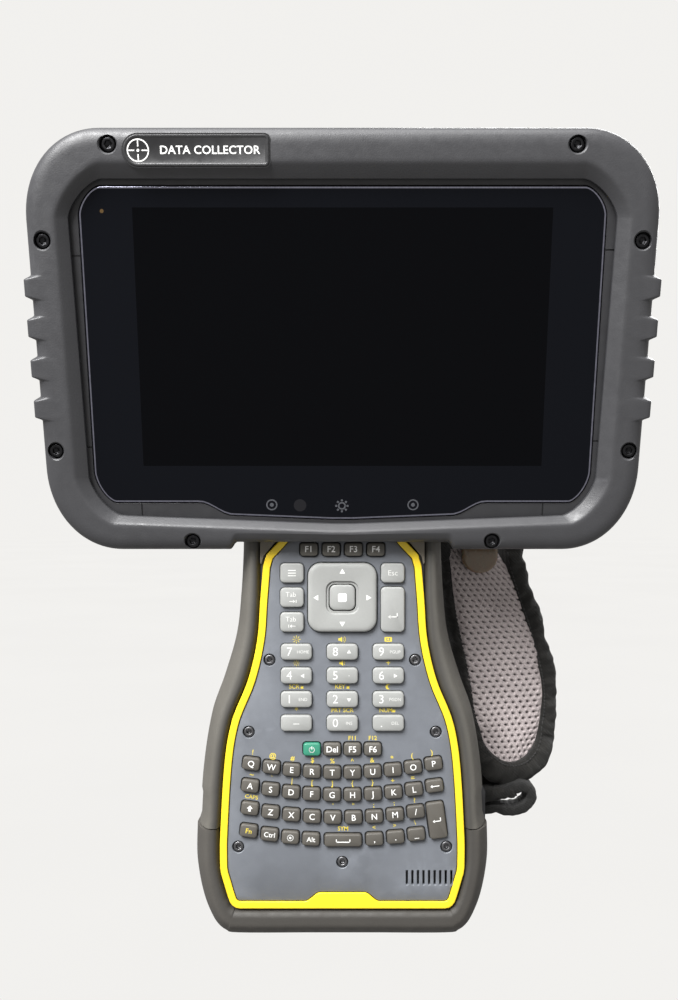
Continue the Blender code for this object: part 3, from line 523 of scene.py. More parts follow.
def inset(outline, distance):
    """A clockwise outline moved inwards, corners mitred."""
    moved = []
    for i, (x, y) in enumerate(outline):
        normals = []
        for (ax, ay), (bx, by) in ((outline[i - 1], (x, y)), ((x, y), outline[(i + 1) % len(outline)])):
            length = math.hypot(bx - ax, by - ay)
            normals.append(((by - ay) / length, -(bx - ax) / length))
        (nx, ny), (mx, my) = normals
        share = distance / (1 + nx * mx + ny * my)
        moved.append((x + (nx + mx) * share, y + (ny + my) * share))
    return moved


def baked(obj):
    """Applies the object's modifiers."""
    graph = bpy.context.evaluated_depsgraph_get()
    mesh = bpy.data.meshes.new_from_object(obj.evaluated_get(graph))
    obj.modifiers.clear()
    old = obj.data
    obj.data = mesh
    bpy.data.meshes.remove(old)
    return obj


def cut(obj, bm, place):
    """Takes the drawn shapes out of the object."""
    bmesh.ops.recalc_face_normals(bm, faces=bm.faces[:])
    bm.transform(place)
    cutter = link_object("cutter", as_mesh(bm, "cutter"))
    modifier = obj.modifiers.new("cut", "BOOLEAN")
    modifier.operation = "DIFFERENCE"
    modifier.object = cutter
    modifier.solver = "EXACT"
    bpy.context.view_layer.update()
    baked(obj)
    bpy.data.objects.remove(cutter)
    finish_mesh(obj.data)


# ---------------------------------------------------------------- head

def flat_dip(_):
    return 0.0


def guard_dip(u):
    """The guard's lower edge steps up in the middle, over the handle."""
    return 2.9 * (1 - smooth_step(40.4, 43.0, abs(u)))


def bevel_dip(u):
    """The screen's lower surround sags towards its middle."""
    return -3.4 * (1 - min(abs(u) / 86.0, 1.0))


def glass_dip(u):
    """The glass reaches lower in its middle stretch, down a soft step at each side."""
    return -5.0 * (1 - smooth_step(42.0, 54.5, abs(u))) - 1.8 * max(0.0, 1 - abs(u) / 43.0)


class Shape:
    """A head outline: half widths, top and bottom, and each corner's radius across and up."""

    def __init__(self, half_top, half_bottom, top, bottom, top_corner, bottom_corner, dip=flat_dip,
                 power=2.0):
        self.half_top, self.half_bottom, self.top, self.bottom = half_top, half_bottom, top, bottom
        self.top_corner, self.bottom_corner, self.dip, self.power = top_corner, bottom_corner, dip, power

    def grown(self, by):
        return Shape(self.half_top + by, self.half_bottom + by, self.top + by, self.bottom - by,
                     [max(radius + by, 1) for radius in self.top_corner],
                     [max(radius + by, 1) for radius in self.bottom_corner], self.dip, self.power)


GUARD = Shape(113.3, 112.0, 74.6, -79.1, (28.0, 31.0), (28.0, 33.0), guard_dip, 2.08)
RIDGE = Shape(102.0, 100.2, 62.3, -67.8, (17.0, 19.0), (14.0, 18.0), bevel_dip, 1.5)
BEVEL_FOOT = Shape(98.0, 95.8, 57.2, -65.4, (12.5, 13.5), (12.0, 15.0), bevel_dip, 1.5)
POCKET = Shape(101.5, 99.6, 60.5, -71.5, (15.0, 16.0), (13.0, 14.0))
REAR_WINDOW = Shape(93.0, 91.5, 54.0, -62.0, (12.0, 12.0), (12.0, 12.0))
GLASS = Shape(94.7, 94.2, 55.0, -60.8, (8.0, 10.0), (8.0, 12.0), glass_dip, 1.6)
TRAY = Shape(86.0, 86.0, 53.0, -57.0, (5.0, 5.0), (5.0, 5.0))
GUARD_FRONT = 7.6
BEVEL_LEVEL = 4.3
GUARD_SPLIT = -11.0
GUARD_BACK = -30.0
GUARD_BAR_BACK = 0.8
BAR_HALF = 41.0
LEDGE = 1.8
GLASS_FACE = 2.3
GLASS_EDGE = 0.8
GLASS_RINGS = ((-27.0, -61.7), (27.0, -61.7))
GLASS_LAMP = (-0.2, -62.1)
GLASS_SENSOR = (-16.2, -61.9)
GLASS_LIGHT = (-86.3, 46.4)
HOUSING_BACK = -18.0
GAP = 0.3
BOTTOM_STATIONS = (4, 16, 26, 34, 38.5, 40.4, 41.2, 41.9, 42.4, 43.0, 45, 47, 49, 51, 53, 55, 60, 70, 80)
RIB_HEIGHTS = (-24.4, -9.5, 5.1, 19.5)
RIB_HALF = 4.7
RIB_SAMPLES = (-1.0, -0.93, -0.85, -0.76, -0.68, -0.62, -0.55, 0.0, 0.55, 0.62, 0.68, 0.76, 0.85, 0.93, 1.0)
RIB_OUT = 2.2
CORNER_STEPS = 22


def head_outline(shape, rib=0.0):
    """The outline from the bottom's middle round to the right and over the top, with the side ribs."""
    across, up = shape.bottom_corner
    top_across, top_up = shape.top_corner
    low, high = shape.bottom + up, shape.top - top_up
    half = [(u, shape.bottom + shape.dip(u)) for u in BOTTOM_STATIONS]
    half += arc(shape.half_bottom - across, low, across, -90, 0, CORNER_STEPS, up / across, shape.power)
    for middle in RIB_HEIGHTS:
        for sample in RIB_SAMPLES:
            share = (middle + sample * RIB_HALF - low) / (high - low)
            side = shape.half_bottom + (shape.half_top - shape.half_bottom) * share
            out = rib * (1 - smooth_step(0.6, 0.98, abs(sample)))
            half.append((side + out, middle + sample * RIB_HALF))
    half += arc(shape.half_top - top_across, high, top_across, 0, 90, CORNER_STEPS, top_up / top_across,
                shape.power)
    half += [(shape.half_top - top_across - run, shape.top) for run in (20, 40, 60)]
    return mirrored(half)


GUARD_SCREWS = ((-82, 68.7), (82, 68.7), (-107, 36), (107, 36), (-107, -40), (107, -40), (-57, -75),
                (57, -75))
SCREW_TOP = 6.3
SCREW_HEAD_R = 2.6
SCREW_RECESS_R = 3.1
LEDGE_SEAMS = ((-98.0, 30.8, 0), (97.6, 32.9, 0), (-96.4, -39.4, 0), (96.6, -37.1, 0), (-76.7, -62.9, 90),
               (76.7, -62.9, 90))


def guard_loops():
    def back_of(outline):
        return [(x, y, GUARD_BAR_BACK if abs(x) < BAR_HALF and y < 0 else GUARD_SPLIT) for x, y in outline]

    return [
        back_of(head_outline(GUARD, RIB_OUT)),
        at_level(head_outline(GUARD, RIB_OUT), 3.6),
        at_level(head_outline(GUARD.grown(-1.3), RIB_OUT + 0.9), 6.3),
        at_level(head_outline(GUARD.grown(-4.4), RIB_OUT + 3.4), GUARD_FRONT),
        at_level(head_outline(RIDGE.grown(1.2)), GUARD_FRONT),
        at_level(head_outline(RIDGE), GUARD_FRONT - 0.25),
        at_level(head_outline(BEVEL_FOOT), BEVEL_LEVEL),
        at_level(head_outline(BEVEL_FOOT.grown(0.3)), LEDGE + GAP),
        at_level(head_outline(POCKET), LEDGE + GAP),
        back_of(head_outline(POCKET)),
    ]


def add_recess(bm, x, y, radius, mouth, floor, lead=0.55):
    """A round hole with a chamfered mouth, to be cut out."""
    add_loft(bm, levels((circle(x, y, radius + lead + 0.5), mouth + 0.5),
                        (circle(x, y, radius), mouth - lead), (circle(x, y, radius), floor)))


def make_front_guard():
    radii = (0.3, 2.4, 2.0, 2.2, 0.9, 0.9, 0.35, 0.2, 0.2, 0.2)
    bm = loft(filleted(guard_loops(), radii, 4, closed=True), closed=True)
    guard = add_piece("front_guard_skin", bm, DISPLAY, "guard_plastic",
                      replaces=["front_guard"])
    cutter = bmesh.new()
    for x, y in GUARD_SCREWS:
        add_recess(cutter, x, y, SCREW_RECESS_R, GUARD_FRONT, 3.6)
    cut(guard, cutter, DISPLAY)
    return guard


def make_rear_guard():
    back_edge = GUARD.grown(-5.0)
    loops = levels(
        (head_outline(GUARD, RIB_OUT), GUARD_SPLIT - GAP),
        (head_outline(GUARD, RIB_OUT), GUARD_BACK + 8),
        (head_outline(GUARD.grown(-1.5), RIB_OUT * 0.6), GUARD_BACK + 3),
        (head_outline(back_edge), GUARD_BACK),
        (head_outline(REAR_WINDOW), GUARD_BACK),
        (head_outline(REAR_WINDOW), HOUSING_BACK - GAP),
        (head_outline(POCKET), HOUSING_BACK - GAP),
        (head_outline(POCKET), GUARD_SPLIT - GAP),
    )
    loops = filleted(loops, (0.6, 3.0, 2.5, 2.5, 1.2, 0.3, 0.2, 0.3), 3, closed=True)
    skip = sum(1 for u in BOTTOM_STATIONS if u < 43)
    sections = list(zip(*loops))[skip:-skip]
    add_piece("rear_guard_skin", loft(sections), DISPLAY, "guard_plastic",
              replaces=["rear_guard"])


def hexagon(radius, steps=36):
    """A hexagon with as many points as a circle, so that it joins to one."""
    points = []
    for i in range(steps):
        turn = 2 * math.pi * i / steps
        off = (turn + math.pi / 6) % (math.pi / 3) - math.pi / 6
        reach = radius * math.cos(math.pi / 6) / math.cos(off)
        points.append((reach * math.cos(turn), reach * math.sin(turn)))
    return points


def screw_head(radius, socket, top, depth):
    """A socket head: chamfered rim, hexagon well with a cone at its foot."""
    loops = levels((circle(0, 0, 0.15), top - 1.9), (hexagon(socket), top - 1.4),
                   (hexagon(socket), top - 0.12), (hexagon(socket * 1.14), top),
                   (circle(0, 0, radius - 0.4), top), (circle(0, 0, radius), top - 0.4),
                   (circle(0, 0, radius), top - depth))
    return loft(filleted(loops, (0, 0.1, 0, 0.08, 0.25, 0.3, 0), 2))


def add_screws(name, places, turn, head, material="screw_steel", node=None):
    """Screws at the places, each turned further than the last, which may stand for numbered nodes."""
    for i, place in enumerate(places, 1):
        turned = place @ Matrix.Rotation(math.radians(turn * i), 4, "Z")
        add_piece(f"{name}_{i}", screw_head(*head), turned, material, "screw_steel",
                  replaces=[f"{node}_{i}"] if node else [], sharp=28)


def make_guard_screws():
    places = [DISPLAY @ Matrix.Translation((x, y, 0)) for x, y in GUARD_SCREWS]
    add_screws("guard_screw_head", places, 37, (SCREW_HEAD_R, 1.45, SCREW_TOP, 2.3), node="guard_screw")


def make_display_housing():
    body = POCKET.grown(-0.5)
    opening = GLASS.grown(GAP)
    loops = levels(
        (head_outline(TRAY), HOUSING_BACK + 2.5),
        (head_outline(TRAY), 0.1),
        (head_outline(opening), 0.1),
        (head_outline(opening), LEDGE),
        (head_outline(body.grown(-0.6)), LEDGE),
        (head_outline(body), LEDGE - 0.6),
        (head_outline(body), HOUSING_BACK + 2),
        (head_outline(body.grown(-2.0)), HOUSING_BACK),
    )
    bm = loft(filleted(loops, (0, 0.2, 0.2, 0.3, 0.2, 0.3, 1.0, 0), 3))
    housing = add_piece("display_housing_skin", bm, DISPLAY, "ledge_plastic", "black_plastic",
                        replaces=["display_housing"])
    cutter = bmesh.new()
    for x, y, turn in LEDGE_SEAMS:
        long_way = (7.0, 0.55) if not turn else (0.55, 6.0)
        outline = rounded_box(*long_way, 0.1, x, y, steps=1)
        add_loft(cutter, levels((outline, LEDGE + 1), (outline, LEDGE - 0.5)))
    cut(housing, cutter, DISPLAY)


def make_display_glass():
    outline = head_outline(GLASS)
    loops = levels((outline, 0.4), (outline, GLASS_FACE),
                   (head_outline(GLASS.grown(-GLASS_EDGE)), GLASS_FACE))
    bm = loft(filleted(loops, (0, GLASS_EDGE, 0), 8))
    for face in bm.faces:
        face.material_index = 0 if len(face.verts) > 4 and face.calc_center_median().z > 1.5 else 1
    glass = add_piece("display_glass_skin", bm, DISPLAY, "cover_glass",
                      replaces=["display_glass"])
    glass.data.materials.append(MATERIALS["glass_edge"])


def add_plate(bm, outline, low, high):
    """A thin flat plate, as ink or a label."""
    add_loft(bm, levels((outline, low), (outline, high)))


def add_ring(bm, x, y, outer, inner, low, high, steps=32):
    add_loft(bm, levels((circle(x, y, outer, steps), low), (circle(x, y, outer, steps), high),
                        (circle(x, y, inner, steps), high), (circle(x, y, inner, steps), low)),
             closed=True)


def add_marks(name, outlines, low, high, place, material, slot, body="housing"):
    """Thin flat shapes as one piece."""
    bm = bmesh.new()
    for outline in outlines:
        add_plate(bm, outline, low, high)
    add_piece(name, bm, place, material, slot, body=body)


def make_glass_marks():
    """Printed rings round the sensors under the glass, the light and the middle key mark."""
    low, high = GLASS_FACE - 0.02, GLASS_FACE + 0.015
    bm = bmesh.new()
    for x, y in GLASS_RINGS:
        add_ring(bm, x, y, 2.15, 1.65, low, high)
        add_plate(bm, circle(x, y, 0.75, 20), low, high)
    lamp_x, lamp_y = GLASS_LAMP
    add_ring(bm, lamp_x, lamp_y, 1.5, 0.95, low, high)
    for i in range(8):
        turn = math.pi / 4 * i
        x, y = lamp_x + 2.15 * math.cos(turn), lamp_y + 2.15 * math.sin(turn)
        add_plate(bm, rounded_box(0.8, 0.75, 0.1, x, y, turn, 1), low, high)
    add_piece("glass_marks", bm, DISPLAY, "mark_grey", "cover_glass")
    disc, light = circle(*GLASS_SENSOR, 2.4, 28), circle(*GLASS_LIGHT, 0.7, 20)
    add_marks("glass_sensor_disc", [disc], low, high - 0.005, DISPLAY, "lens", "cover_glass")
    add_marks("glass_light", [light], low, high, DISPLAY, "amber_light", "cover_glass")


PLAQUE = (-76.4, -25.9, 61.4, 71.5)


def plaque_outline(grow):
    """The label's outline: a half round at the left end and small corners at the right."""
    low_x, high_x, low_y, high_y = PLAQUE
    half = (high_y - low_y) / 2
    middle = (low_y + high_y) / 2
    corner = 1.4
    points = arc(low_x + half, middle, half + grow, 90, 270, 24)
    points += arc(high_x - corner, low_y + corner, corner + grow, -90, 0, 5)
    points += arc(high_x - corner, high_y - corner, corner + grow, 0, 90, 5)
    return points


def make_plaque():
    """A label with a raised rim, a plain cross-hair target at its left end and what the object is."""
    front = GUARD_FRONT
    # The groove round the label is a thin flat black ring on the guard's face, painted shade for the groove.
    groove = bmesh.new()
    add_loft(groove, levels((plaque_outline(0.75), front - 0.2), (plaque_outline(0.75), front + 0.03),
                            (plaque_outline(0.2), front + 0.03), (plaque_outline(0.2), front - 0.2)),
             closed=True)
    add_piece("plaque_groove", groove, DISPLAY, "groove_shade_black", "guard_plastic")
    loops = levels((plaque_outline(0.2), front - 0.4), (plaque_outline(0.2), front + 0.35),
                   (plaque_outline(-0.5), front + 0.35), (plaque_outline(-0.8), front + 0.15))
    bm = loft(filleted(loops, (0, 0.2, 0.2, 0), 3))
    add_piece("plaque", bm, DISPLAY, "plaque_plastic", "guard_plastic")
    low, high = front + 0.12, front + 0.19
    x, y = PLAQUE[0] + 5.05, (PLAQUE[2] + PLAQUE[3]) / 2
    bm = bmesh.new()
    add_ring(bm, x, y, 3.9, 3.45, low, high, 40)
    for turn in range(4):
        angle = math.pi / 2 * turn
        outline = rounded_box(2.1, 0.45, 0.1, x + 2.3 * math.cos(angle), y + 2.3 * math.sin(angle), angle, 1)
        add_plate(bm, outline, low, high)
    add_plate(bm, circle(x, y, 0.5, 16), low, high)
    words_x = (PLAQUE[0] + 11.0 + PLAQUE[1] - 1.4) / 2
    add_words(bm, "DATA COLLECTOR", 3.9, words_x, y, low, bold=0.018, spacing=1.04)
    add_piece("plaque_print", bm, DISPLAY, "white_ink", "guard_plastic")


# ---------------------------------------------------------------- legends

INK = 0.05
INK_SUNK = 0.02
PRINT_BOLD = 0.013
CAP_BOLD = 0.01
DIGIT_BOLD = -0.008
MAT_BOLD = 0.006
DIGIT_SIZE = 4.7
LETTER_SIZE = 3.3
WORD_SIZE = 2.7
PRINT_SIZE = 2.3


def add_words(bm, words, size, x, y, z, turn=0.0, bold=0.0, spacing=1.0):
    """Lettering, size in millimetres, as a thin solid standing on z."""
    curve = bpy.data.curves.new("words", "FONT")
    curve.body = words
    curve.size = size
    curve.align_x = "CENTER"
    curve.align_y = "CENTER"
    curve.extrude = INK / 2
    curve.offset = bold * size
    curve.resolution_u = 3
    curve.space_character = spacing
    obj = link_object("words", curve)
    bpy.context.view_layer.update()
    mesh = obj.evaluated_get(bpy.context.evaluated_depsgraph_get()).to_mesh()
    part = bmesh.new()
    part.from_mesh(mesh)
    bmesh.ops.remove_doubles(part, verts=part.verts[:], dist=1e-5)
    part.transform(Matrix.Translation((x, y, z + INK / 2)) @ Matrix.Rotation(turn, 4, "Z"))
    add_bm(bm, part)
    bpy.data.objects.remove(obj)
    bpy.data.curves.remove(curve)


def stroke(points, width):
    """A line of straight runs as one outline per run, each a little long so that they join."""
    outlines = []
    for (ax, ay), (bx, by) in zip(points, points[1:]):
        length = math.hypot(bx - ax, by - ay)
        turn = math.atan2(by - ay, bx - ax)
        middle = ((ax + bx) / 2, (ay + by) / 2)
        outlines.append(rounded_box(length + width * 0.9, width, width * 0.3, *middle, turn, 1))
    return outlines


def triangle(size, turn):
    return [[(size * math.cos(turn + a), size * math.sin(turn + a)) for a in (0, 2.1, -2.1)]]


def arrow(length, turn, width=0.35):
    cos, sin = math.cos(turn), math.sin(turn)
    head = [(length / 2 - 0.1, 0.0), (length / 2 - 1.0, 0.75), (length / 2 - 1.0, -0.75)]
    head = [(x * cos - y * sin, x * sin + y * cos) for x, y in head]
    half = length / 2
    return [head] + stroke([(-half * cos, -half * sin), ((half - 0.9) * cos, (half - 0.9) * sin)], width)


def bend(x, y, radius, start, end, width, steps=8):
    return stroke(arc(x, y, radius, start, end, steps), width)


UP, LEFT, DOWN, RIGHT = math.pi / 2, math.pi, -math.pi / 2, 0.0


def speaker_icon(x, waves):
    """A loudspeaker whose mouth is at x, with so many sound waves."""
    outlines = [[(x - 1.6, -0.5), (x - 0.9, -0.5), (x, -1.2), (x, 1.2), (x - 0.9, 0.5), (x - 1.6, 0.5)]]
    for radius, steps in waves:
        outlines += bend(x, 0, radius, -50, 50, 0.25, steps)
    return outlines


def sun_icon():
    outlines = bend(0, 0, 0.7, 0, 360, 0.3, 10)
    for i in range(8):
        x, y = math.cos(math.pi / 4 * i), math.sin(math.pi / 4 * i)
        outlines += stroke([(1.15 * x, 1.15 * y), (1.6 * x, 1.6 * y)], 0.26)
    return outlines


# The outlines of each small pictogram, about its own middle
ICONS = {
    "menu": [rounded_box(3.6, 0.45, 0.1, 0, y, steps=1) for y in (-1.2, 0, 1.2)],
    "up": triangle(0.8, UP),
    "down": triangle(0.8, DOWN),
    "left": triangle(0.8, LEFT),
    "right": triangle(0.8, RIGHT),
    "enter": [[(-1.9, -0.2), (-0.9, 0.5), (-0.9, -0.9)],
              *stroke([(-1.1, -0.2), (1.7, -0.2), (1.7, 1.1)], 0.4)],
    "backspace": arrow(4.0, LEFT, 0.42),
    "shift": [[(0, 1.5), (-1.4, 0.1), (1.4, 0.1)], rounded_box(1.1, 1.3, 0.1, 0, -0.5, steps=1)],
    "space": stroke([(-3.0, 0.5), (-3.0, -0.6), (3.0, -0.6), (3.0, 0.5)], 0.42),
    "power": bend(0, -0.1, 1.25, 125, 415, 0.36, 12) + stroke([(0, 0.2), (0, 1.4)], 0.36),
    "dot": bend(0, 0, 1.3, 0, 360, 0.36, 14) + [circle(0, 0, 0.5, 12)],
    "sun": sun_icon(),
    "speaker": speaker_icon(-0.1, [(0.8, 4), (1.5, 5)]),
    "speaker_low": speaker_icon(0.3, [(0.8, 4)]),
    "camera": [rounded_box(0.8, 1.9, 0.15, -1.2, 0, steps=1), rounded_box(0.8, 1.9, 0.15, 1.2, 0, steps=1),
               rounded_box(1.7, 0.5, 0.1, 0, 0.8, steps=1), rounded_box(1.7, 0.4, 0.1, 0, -0.8, steps=1),
               circle(0, 0, 0.45, 10)],
    "moon": [arc(0, 0, 1.2, 60, 300, 10) + arc(0.75, 0, 0.95, 285, 75, 8)],
    "lock": [rounded_box(1.3, 1.0, 0.1, 0, -0.4, steps=1)] + bend(0, 0.1, 0.42, 0, 180, 0.22, 5),
    "tab": arrow(2.6, RIGHT, 0.3) + stroke([(1.7, -0.6), (1.7, 0.6)], 0.3),
    "tab_back": arrow(2.6, LEFT, 0.3) + stroke([(-1.7, -0.6), (-1.7, 0.6)], 0.3),
}


def add_icon(bm, kind, x, y, z, turn=0.0, size=1.0):
    cos, sin = math.cos(turn) * size, math.sin(turn) * size
    for outline in ICONS[kind]:
        add_plate(bm, [(x + px * cos - py * sin, y + px * sin + py * cos) for px, py in outline], z, z + INK)


def add_label(bm, label, size, x, y, z, turn=0.0, bold=0.0):
    """Letters, or a pictogram where the label starts with a colon."""
    if label.startswith(":"):
        add_icon(bm, label[1:], x, y, z, turn, size / 4)
    else:
        add_words(bm, label, size, x, y, z, turn, bold)


# ---------------------------------------------------------------- handle

TRIM_HEAD = ((21.6, 160.0), (24.9, 156.0))
TRIM_LINE = ((149.4, 30.7), (133.3, 32.0), (117.7, 33.2), (102.1, 36.8), (86.5, 43.0), (70.9, 45.8),
             (39.7, 47.7), (32.0, 47.7))
TRIM_TOP, TRIM_SIDE_FOOT, TRIM_STEPS = 149.4, 32.0, 40
TRIM_FOOT = ((47.65, 29.0), (47.3, 26.6), (46.5, 24.0), (45.4, 20.2), (44.6, 17.6), (43.9, 15.6),
             (43.0, 14.3), (41.6, 13.3), (40.0, 13.0), (30.0, 13.0),
             *[(15.0 - 0.5 * i, 13.0) for i in range(16)])
TRIM_WIDTH = 2.8
TRIM_PROUD = 0.5
BADGE_HALF = 8.6
BADGE_TOP = 19.2
SHELL_FRONT = -2.3
PANEL_THICK = 2.0
KEY_PROUD = 1.6


def trim_outline():
    heights = [TRIM_TOP + (TRIM_SIDE_FOOT - TRIM_TOP) * i / TRIM_STEPS for i in range(TRIM_STEPS + 1)]
    sides = [(smooth_value(TRIM_LINE, height), height) for height in heights]
    bend_knots = [Vector((*TRIM_HEAD[1], 0)), Vector((29.6, 151.0, 0)), Vector((*sides[1], 0))]
    corner = [(p.x, p.y) for p in (bend_knots[0].lerp(bend_knots[1], 0.8), bend_knots[1],
                                   bend_knots[1].lerp(bend_knots[2], 0.45))]
    return mirrored(list(TRIM_HEAD) + corner + sides[1:] + list(TRIM_FOOT))


def panel_edge():
    inner = inset(trim_outline(), TRIM_WIDTH)
    foot = inner[len(inner) // 2][1]
    return [(x, y + (BADGE_TOP - foot) * (1 - smooth_step(BADGE_HALF, 14.6, abs(x))) if y < foot + 0.1 else y)
            for x, y in inner]


def make_trim():
    outer, inner = trim_outline(), panel_edge()
    loops = levels((outer, SHELL_FRONT + GAP), (outer, TRIM_PROUD), (inner, TRIM_PROUD),
                   (inner, -0.4))
    sections = filleted(loops, (0, 0.5, 0.35, 0), 4)
    bm = loft(list(zip(*sections)))
    add_piece("trim_band", bm, KEYPAD, "trim_yellow", replaces=["panel_trim"])


# Keys: (x, height above the handle's lower end)
TOP_ROW_HEIGHT = 153.1
TOP_ROW_PITCH = 8.68
SIDE_KEY_X = 19.6
SIDE_KEY_HEIGHTS = (143.9, 134.4, 124.8)
ENTER_HEIGHT = 129.7
DPAD_HEIGHT = 134.4
LIGHT_KEY_WIDER = 0.3
DPAD_SIZE = 26.8
DPAD_HOLE = 12.3
DPAD_CENTRE = 10.0
NUMBER_X = 17.9
NUMBER_TOP = 113.2
NUMBER_PITCH = 9.23
POWER_ROW_HEIGHT = 75.3
POWER_ROW_PITCH = 7.9
SMALL_KEY = (6.9, 5.2)
SIDE_KEY = (8.9, 7.3)
ENTER_KEY = (9.0, 17.2)
NUMBER_KEY = (11.9, 5.9)
LETTER_KEY = (6.8, 5.0)
SPACE_KEY = (14.6, 4.9)
TALL_KEY = (6.9, 14.2)
LETTER_ROWS = ((66.2, 7.88, 0.0, "Q W E R T Y U I O P"), (57.5, 7.97, 0.0, "A S D F G H J K L :backspace"),
               (48.7, 8.07, -3.7, ":shift Z X C V B N M /"))
LETTER_TOPS = ("! @ # $ % ^ & * ( )", "~ ` | [ ] { } + = :none", "CAPS :none :none :none ' \" ; : ?")
BOTTOM_ROW_HEIGHT = 39.9
BOTTOM_ROW = ((-36.4, "Fn"), (-28.3, "Ctrl"), (-20.2, ":dot"), (-12.2, "Alt"), (12.5, ","), (20.7, "."),
              (28.8, "_"))
BOTTOM_TOPS = ((0.3, "SYM"), (12.5, "<"), (20.7, ">"), (28.8, "\\"))
TALL_KEY_AT = (36.7, 47.7)
ROW_RADIUS = 180.0
ROW_TURN = 0.65
KEYPAD_SCREWS = ((-28.4, 109.9), (28.4, 109.9), (-36.5, 81.8), (36.5, 81.8), (-40.6, 37.0), (40.6, 37.0),
                 (0.0, 31.0))
KEYPAD_SCREW_R = 2.35
SPEAKER_SLOTS = 9
SPEAKER_X = 33.9
SPEAKER_HEIGHT = 25.0
SPEAKER_PITCH = 2.17
SPEAKER_SLOT = (0.75, 5.0)


def on_row(x, height):
    """A key's middle and turn on its arched row."""
    return x, height + x * x / (2 * ROW_RADIUS), ROW_TURN * math.asin(x / ROW_RADIUS)


def letter_keys():
    """Every key of the letter block: (label, x, y, turn, width, height)."""
    keys = []
    for height, pitch, shift, labels in LETTER_ROWS:
        labels = labels.split()
        for i, label in enumerate(labels):
            keys.append((label, *on_row((i - (len(labels) - 1) / 2) * pitch + shift, height), *LETTER_KEY))
    keys += [(label, *on_row(x, BOTTOM_ROW_HEIGHT), *LETTER_KEY) for x, label in BOTTOM_ROW]
    keys.append((":space", *on_row(0.3, BOTTOM_ROW_HEIGHT), *SPACE_KEY))
    keys.append((":enter", *TALL_KEY_AT, ROW_TURN * math.asin(TALL_KEY_AT[0] / ROW_RADIUS), *TALL_KEY))
    return keys


def moving_keys():
    """Every key that is its own piece: name to (x, y, width, height, corner, slot, labels).

    A label is (words or pictogram, size, x, y, ink) from the key's middle."""
    keys = {}
    for i in range(4):
        keys[f"key_f{i + 1}"] = ((i - 1.5) * TOP_ROW_PITCH, TOP_ROW_HEIGHT, *SMALL_KEY, 1.3, "dark_key",
                                 [(f"F{i + 1}", 3.4, 0, 0, "white_ink")])
    sides = [("key_menu", [(":menu", 3.4, 0, 0, "pale_ink")])]
    for tab in ("tab", "tab_back"):
        labels = [("Tab", WORD_SIZE, -0.4, 1.1, "pale_ink"), (f":{tab}", 3.4, 0.2, -1.5, "pale_ink")]
        sides.append((f"key_{tab}", labels))
    for (name, labels), height in zip(sides, SIDE_KEY_HEIGHTS):
        keys[name] = (-SIDE_KEY_X, height, *SIDE_KEY, 1.7, "light_key", labels)
    keys["key_escape"] = (SIDE_KEY_X, SIDE_KEY_HEIGHTS[0], *SIDE_KEY, 1.7, "light_key",
                          [("Esc", 3.0, 0, 0, "pale_ink")])
    keys["key_enter"] = (SIDE_KEY_X, ENTER_HEIGHT, *ENTER_KEY, 1.8, "light_key",
                         [(":enter", 4.0, 0, -2.6, "pale_ink")])
    rows = ((("7", "HOME"), ("8", ":up"), ("9", "PGUP")), (("4", ":left"), ("5", "•"), ("6", ":right")),
            (("1", "END"), ("2", ":down"), ("3", "PGDN")), (("minus", ""), ("0", "INS"), ("point", "DEL")))
    for i, row in enumerate(rows):
        for (name, word), x in zip(row, (-NUMBER_X, 0, NUMBER_X)):
            big = {"minus": "–", "point": "."}.get(name, name)
            labels = [(big, DIGIT_SIZE, -2.7 if word else 0.0, 0, "white_ink")]
            if word:
                labels.append((word, 4.8 if word.startswith(":") else 1.7, 2.6, 0, "pale_ink"))
            keys[f"key_{name}"] = (x, NUMBER_TOP - i * NUMBER_PITCH, *NUMBER_KEY, 1.7, "light_key", labels)
    row = (("power", ":power", "green_key"), ("delete", "Del", "dark_key"), ("f5", "F5", "dark_key"),
           ("f6", "F6", "dark_key"))
    for i, (name, label, slot) in enumerate(row):
        keys[f"key_{name}"] = ((i - 1.5) * POWER_ROW_PITCH, POWER_ROW_HEIGHT, *LETTER_KEY, 1.3, slot,
                               [(label, LETTER_SIZE, 0, 0, "white_ink")])
    return keys


def cap_loops(width, height, radius, x=0.0, y=0.0, turn=0.0, foot=-PANEL_THICK, top=KEY_PROUD, edge=0.6):
    """A key cap with a soft shoulder and a flat crown."""
    side = rounded_box(width, height, radius, x, y, turn)
    crown = rounded_box(width - 2 * edge, height - 2 * edge, max(radius - edge, 0.3), x, y, turn)
    return filleted(levels((side, foot), (side, top - 0.25), (crown, top)), (0, 0.7, 0), 5)


def make_moving_keys():
    for name, (x, y, width, height, radius, slot, labels) in moving_keys().items():
        wider = LIGHT_KEY_WIDER if slot == "light_key" else 0
        bm = loft(cap_loops(width + wider, height + wider, radius, x, y))
        add_piece(f"{name}_cap", bm, KEYPAD, slot, slot, body=name, replaces=[name])
        for ink in ("white_ink", "pale_ink"):
            chosen = [label for label in labels if label[4] == ink]
            if not chosen:
                continue
            bm = bmesh.new()
            for words, size, off_x, off_y, _ in chosen:
                bold = CAP_BOLD if ink == "white_ink" and size < DIGIT_SIZE else DIGIT_BOLD
                add_label(bm, words, size, x + off_x, y + off_y, KEY_PROUD - INK_SUNK, bold=bold)
            add_piece(f"{name}_{ink}", bm, KEYPAD, ink, slot, body=name)


def dpad_box(size, radius, steps=6):
    """A square with round corners about the direction pad's middle."""
    return rounded_box(size, size, radius, 0, DPAD_HEIGHT, steps=steps)


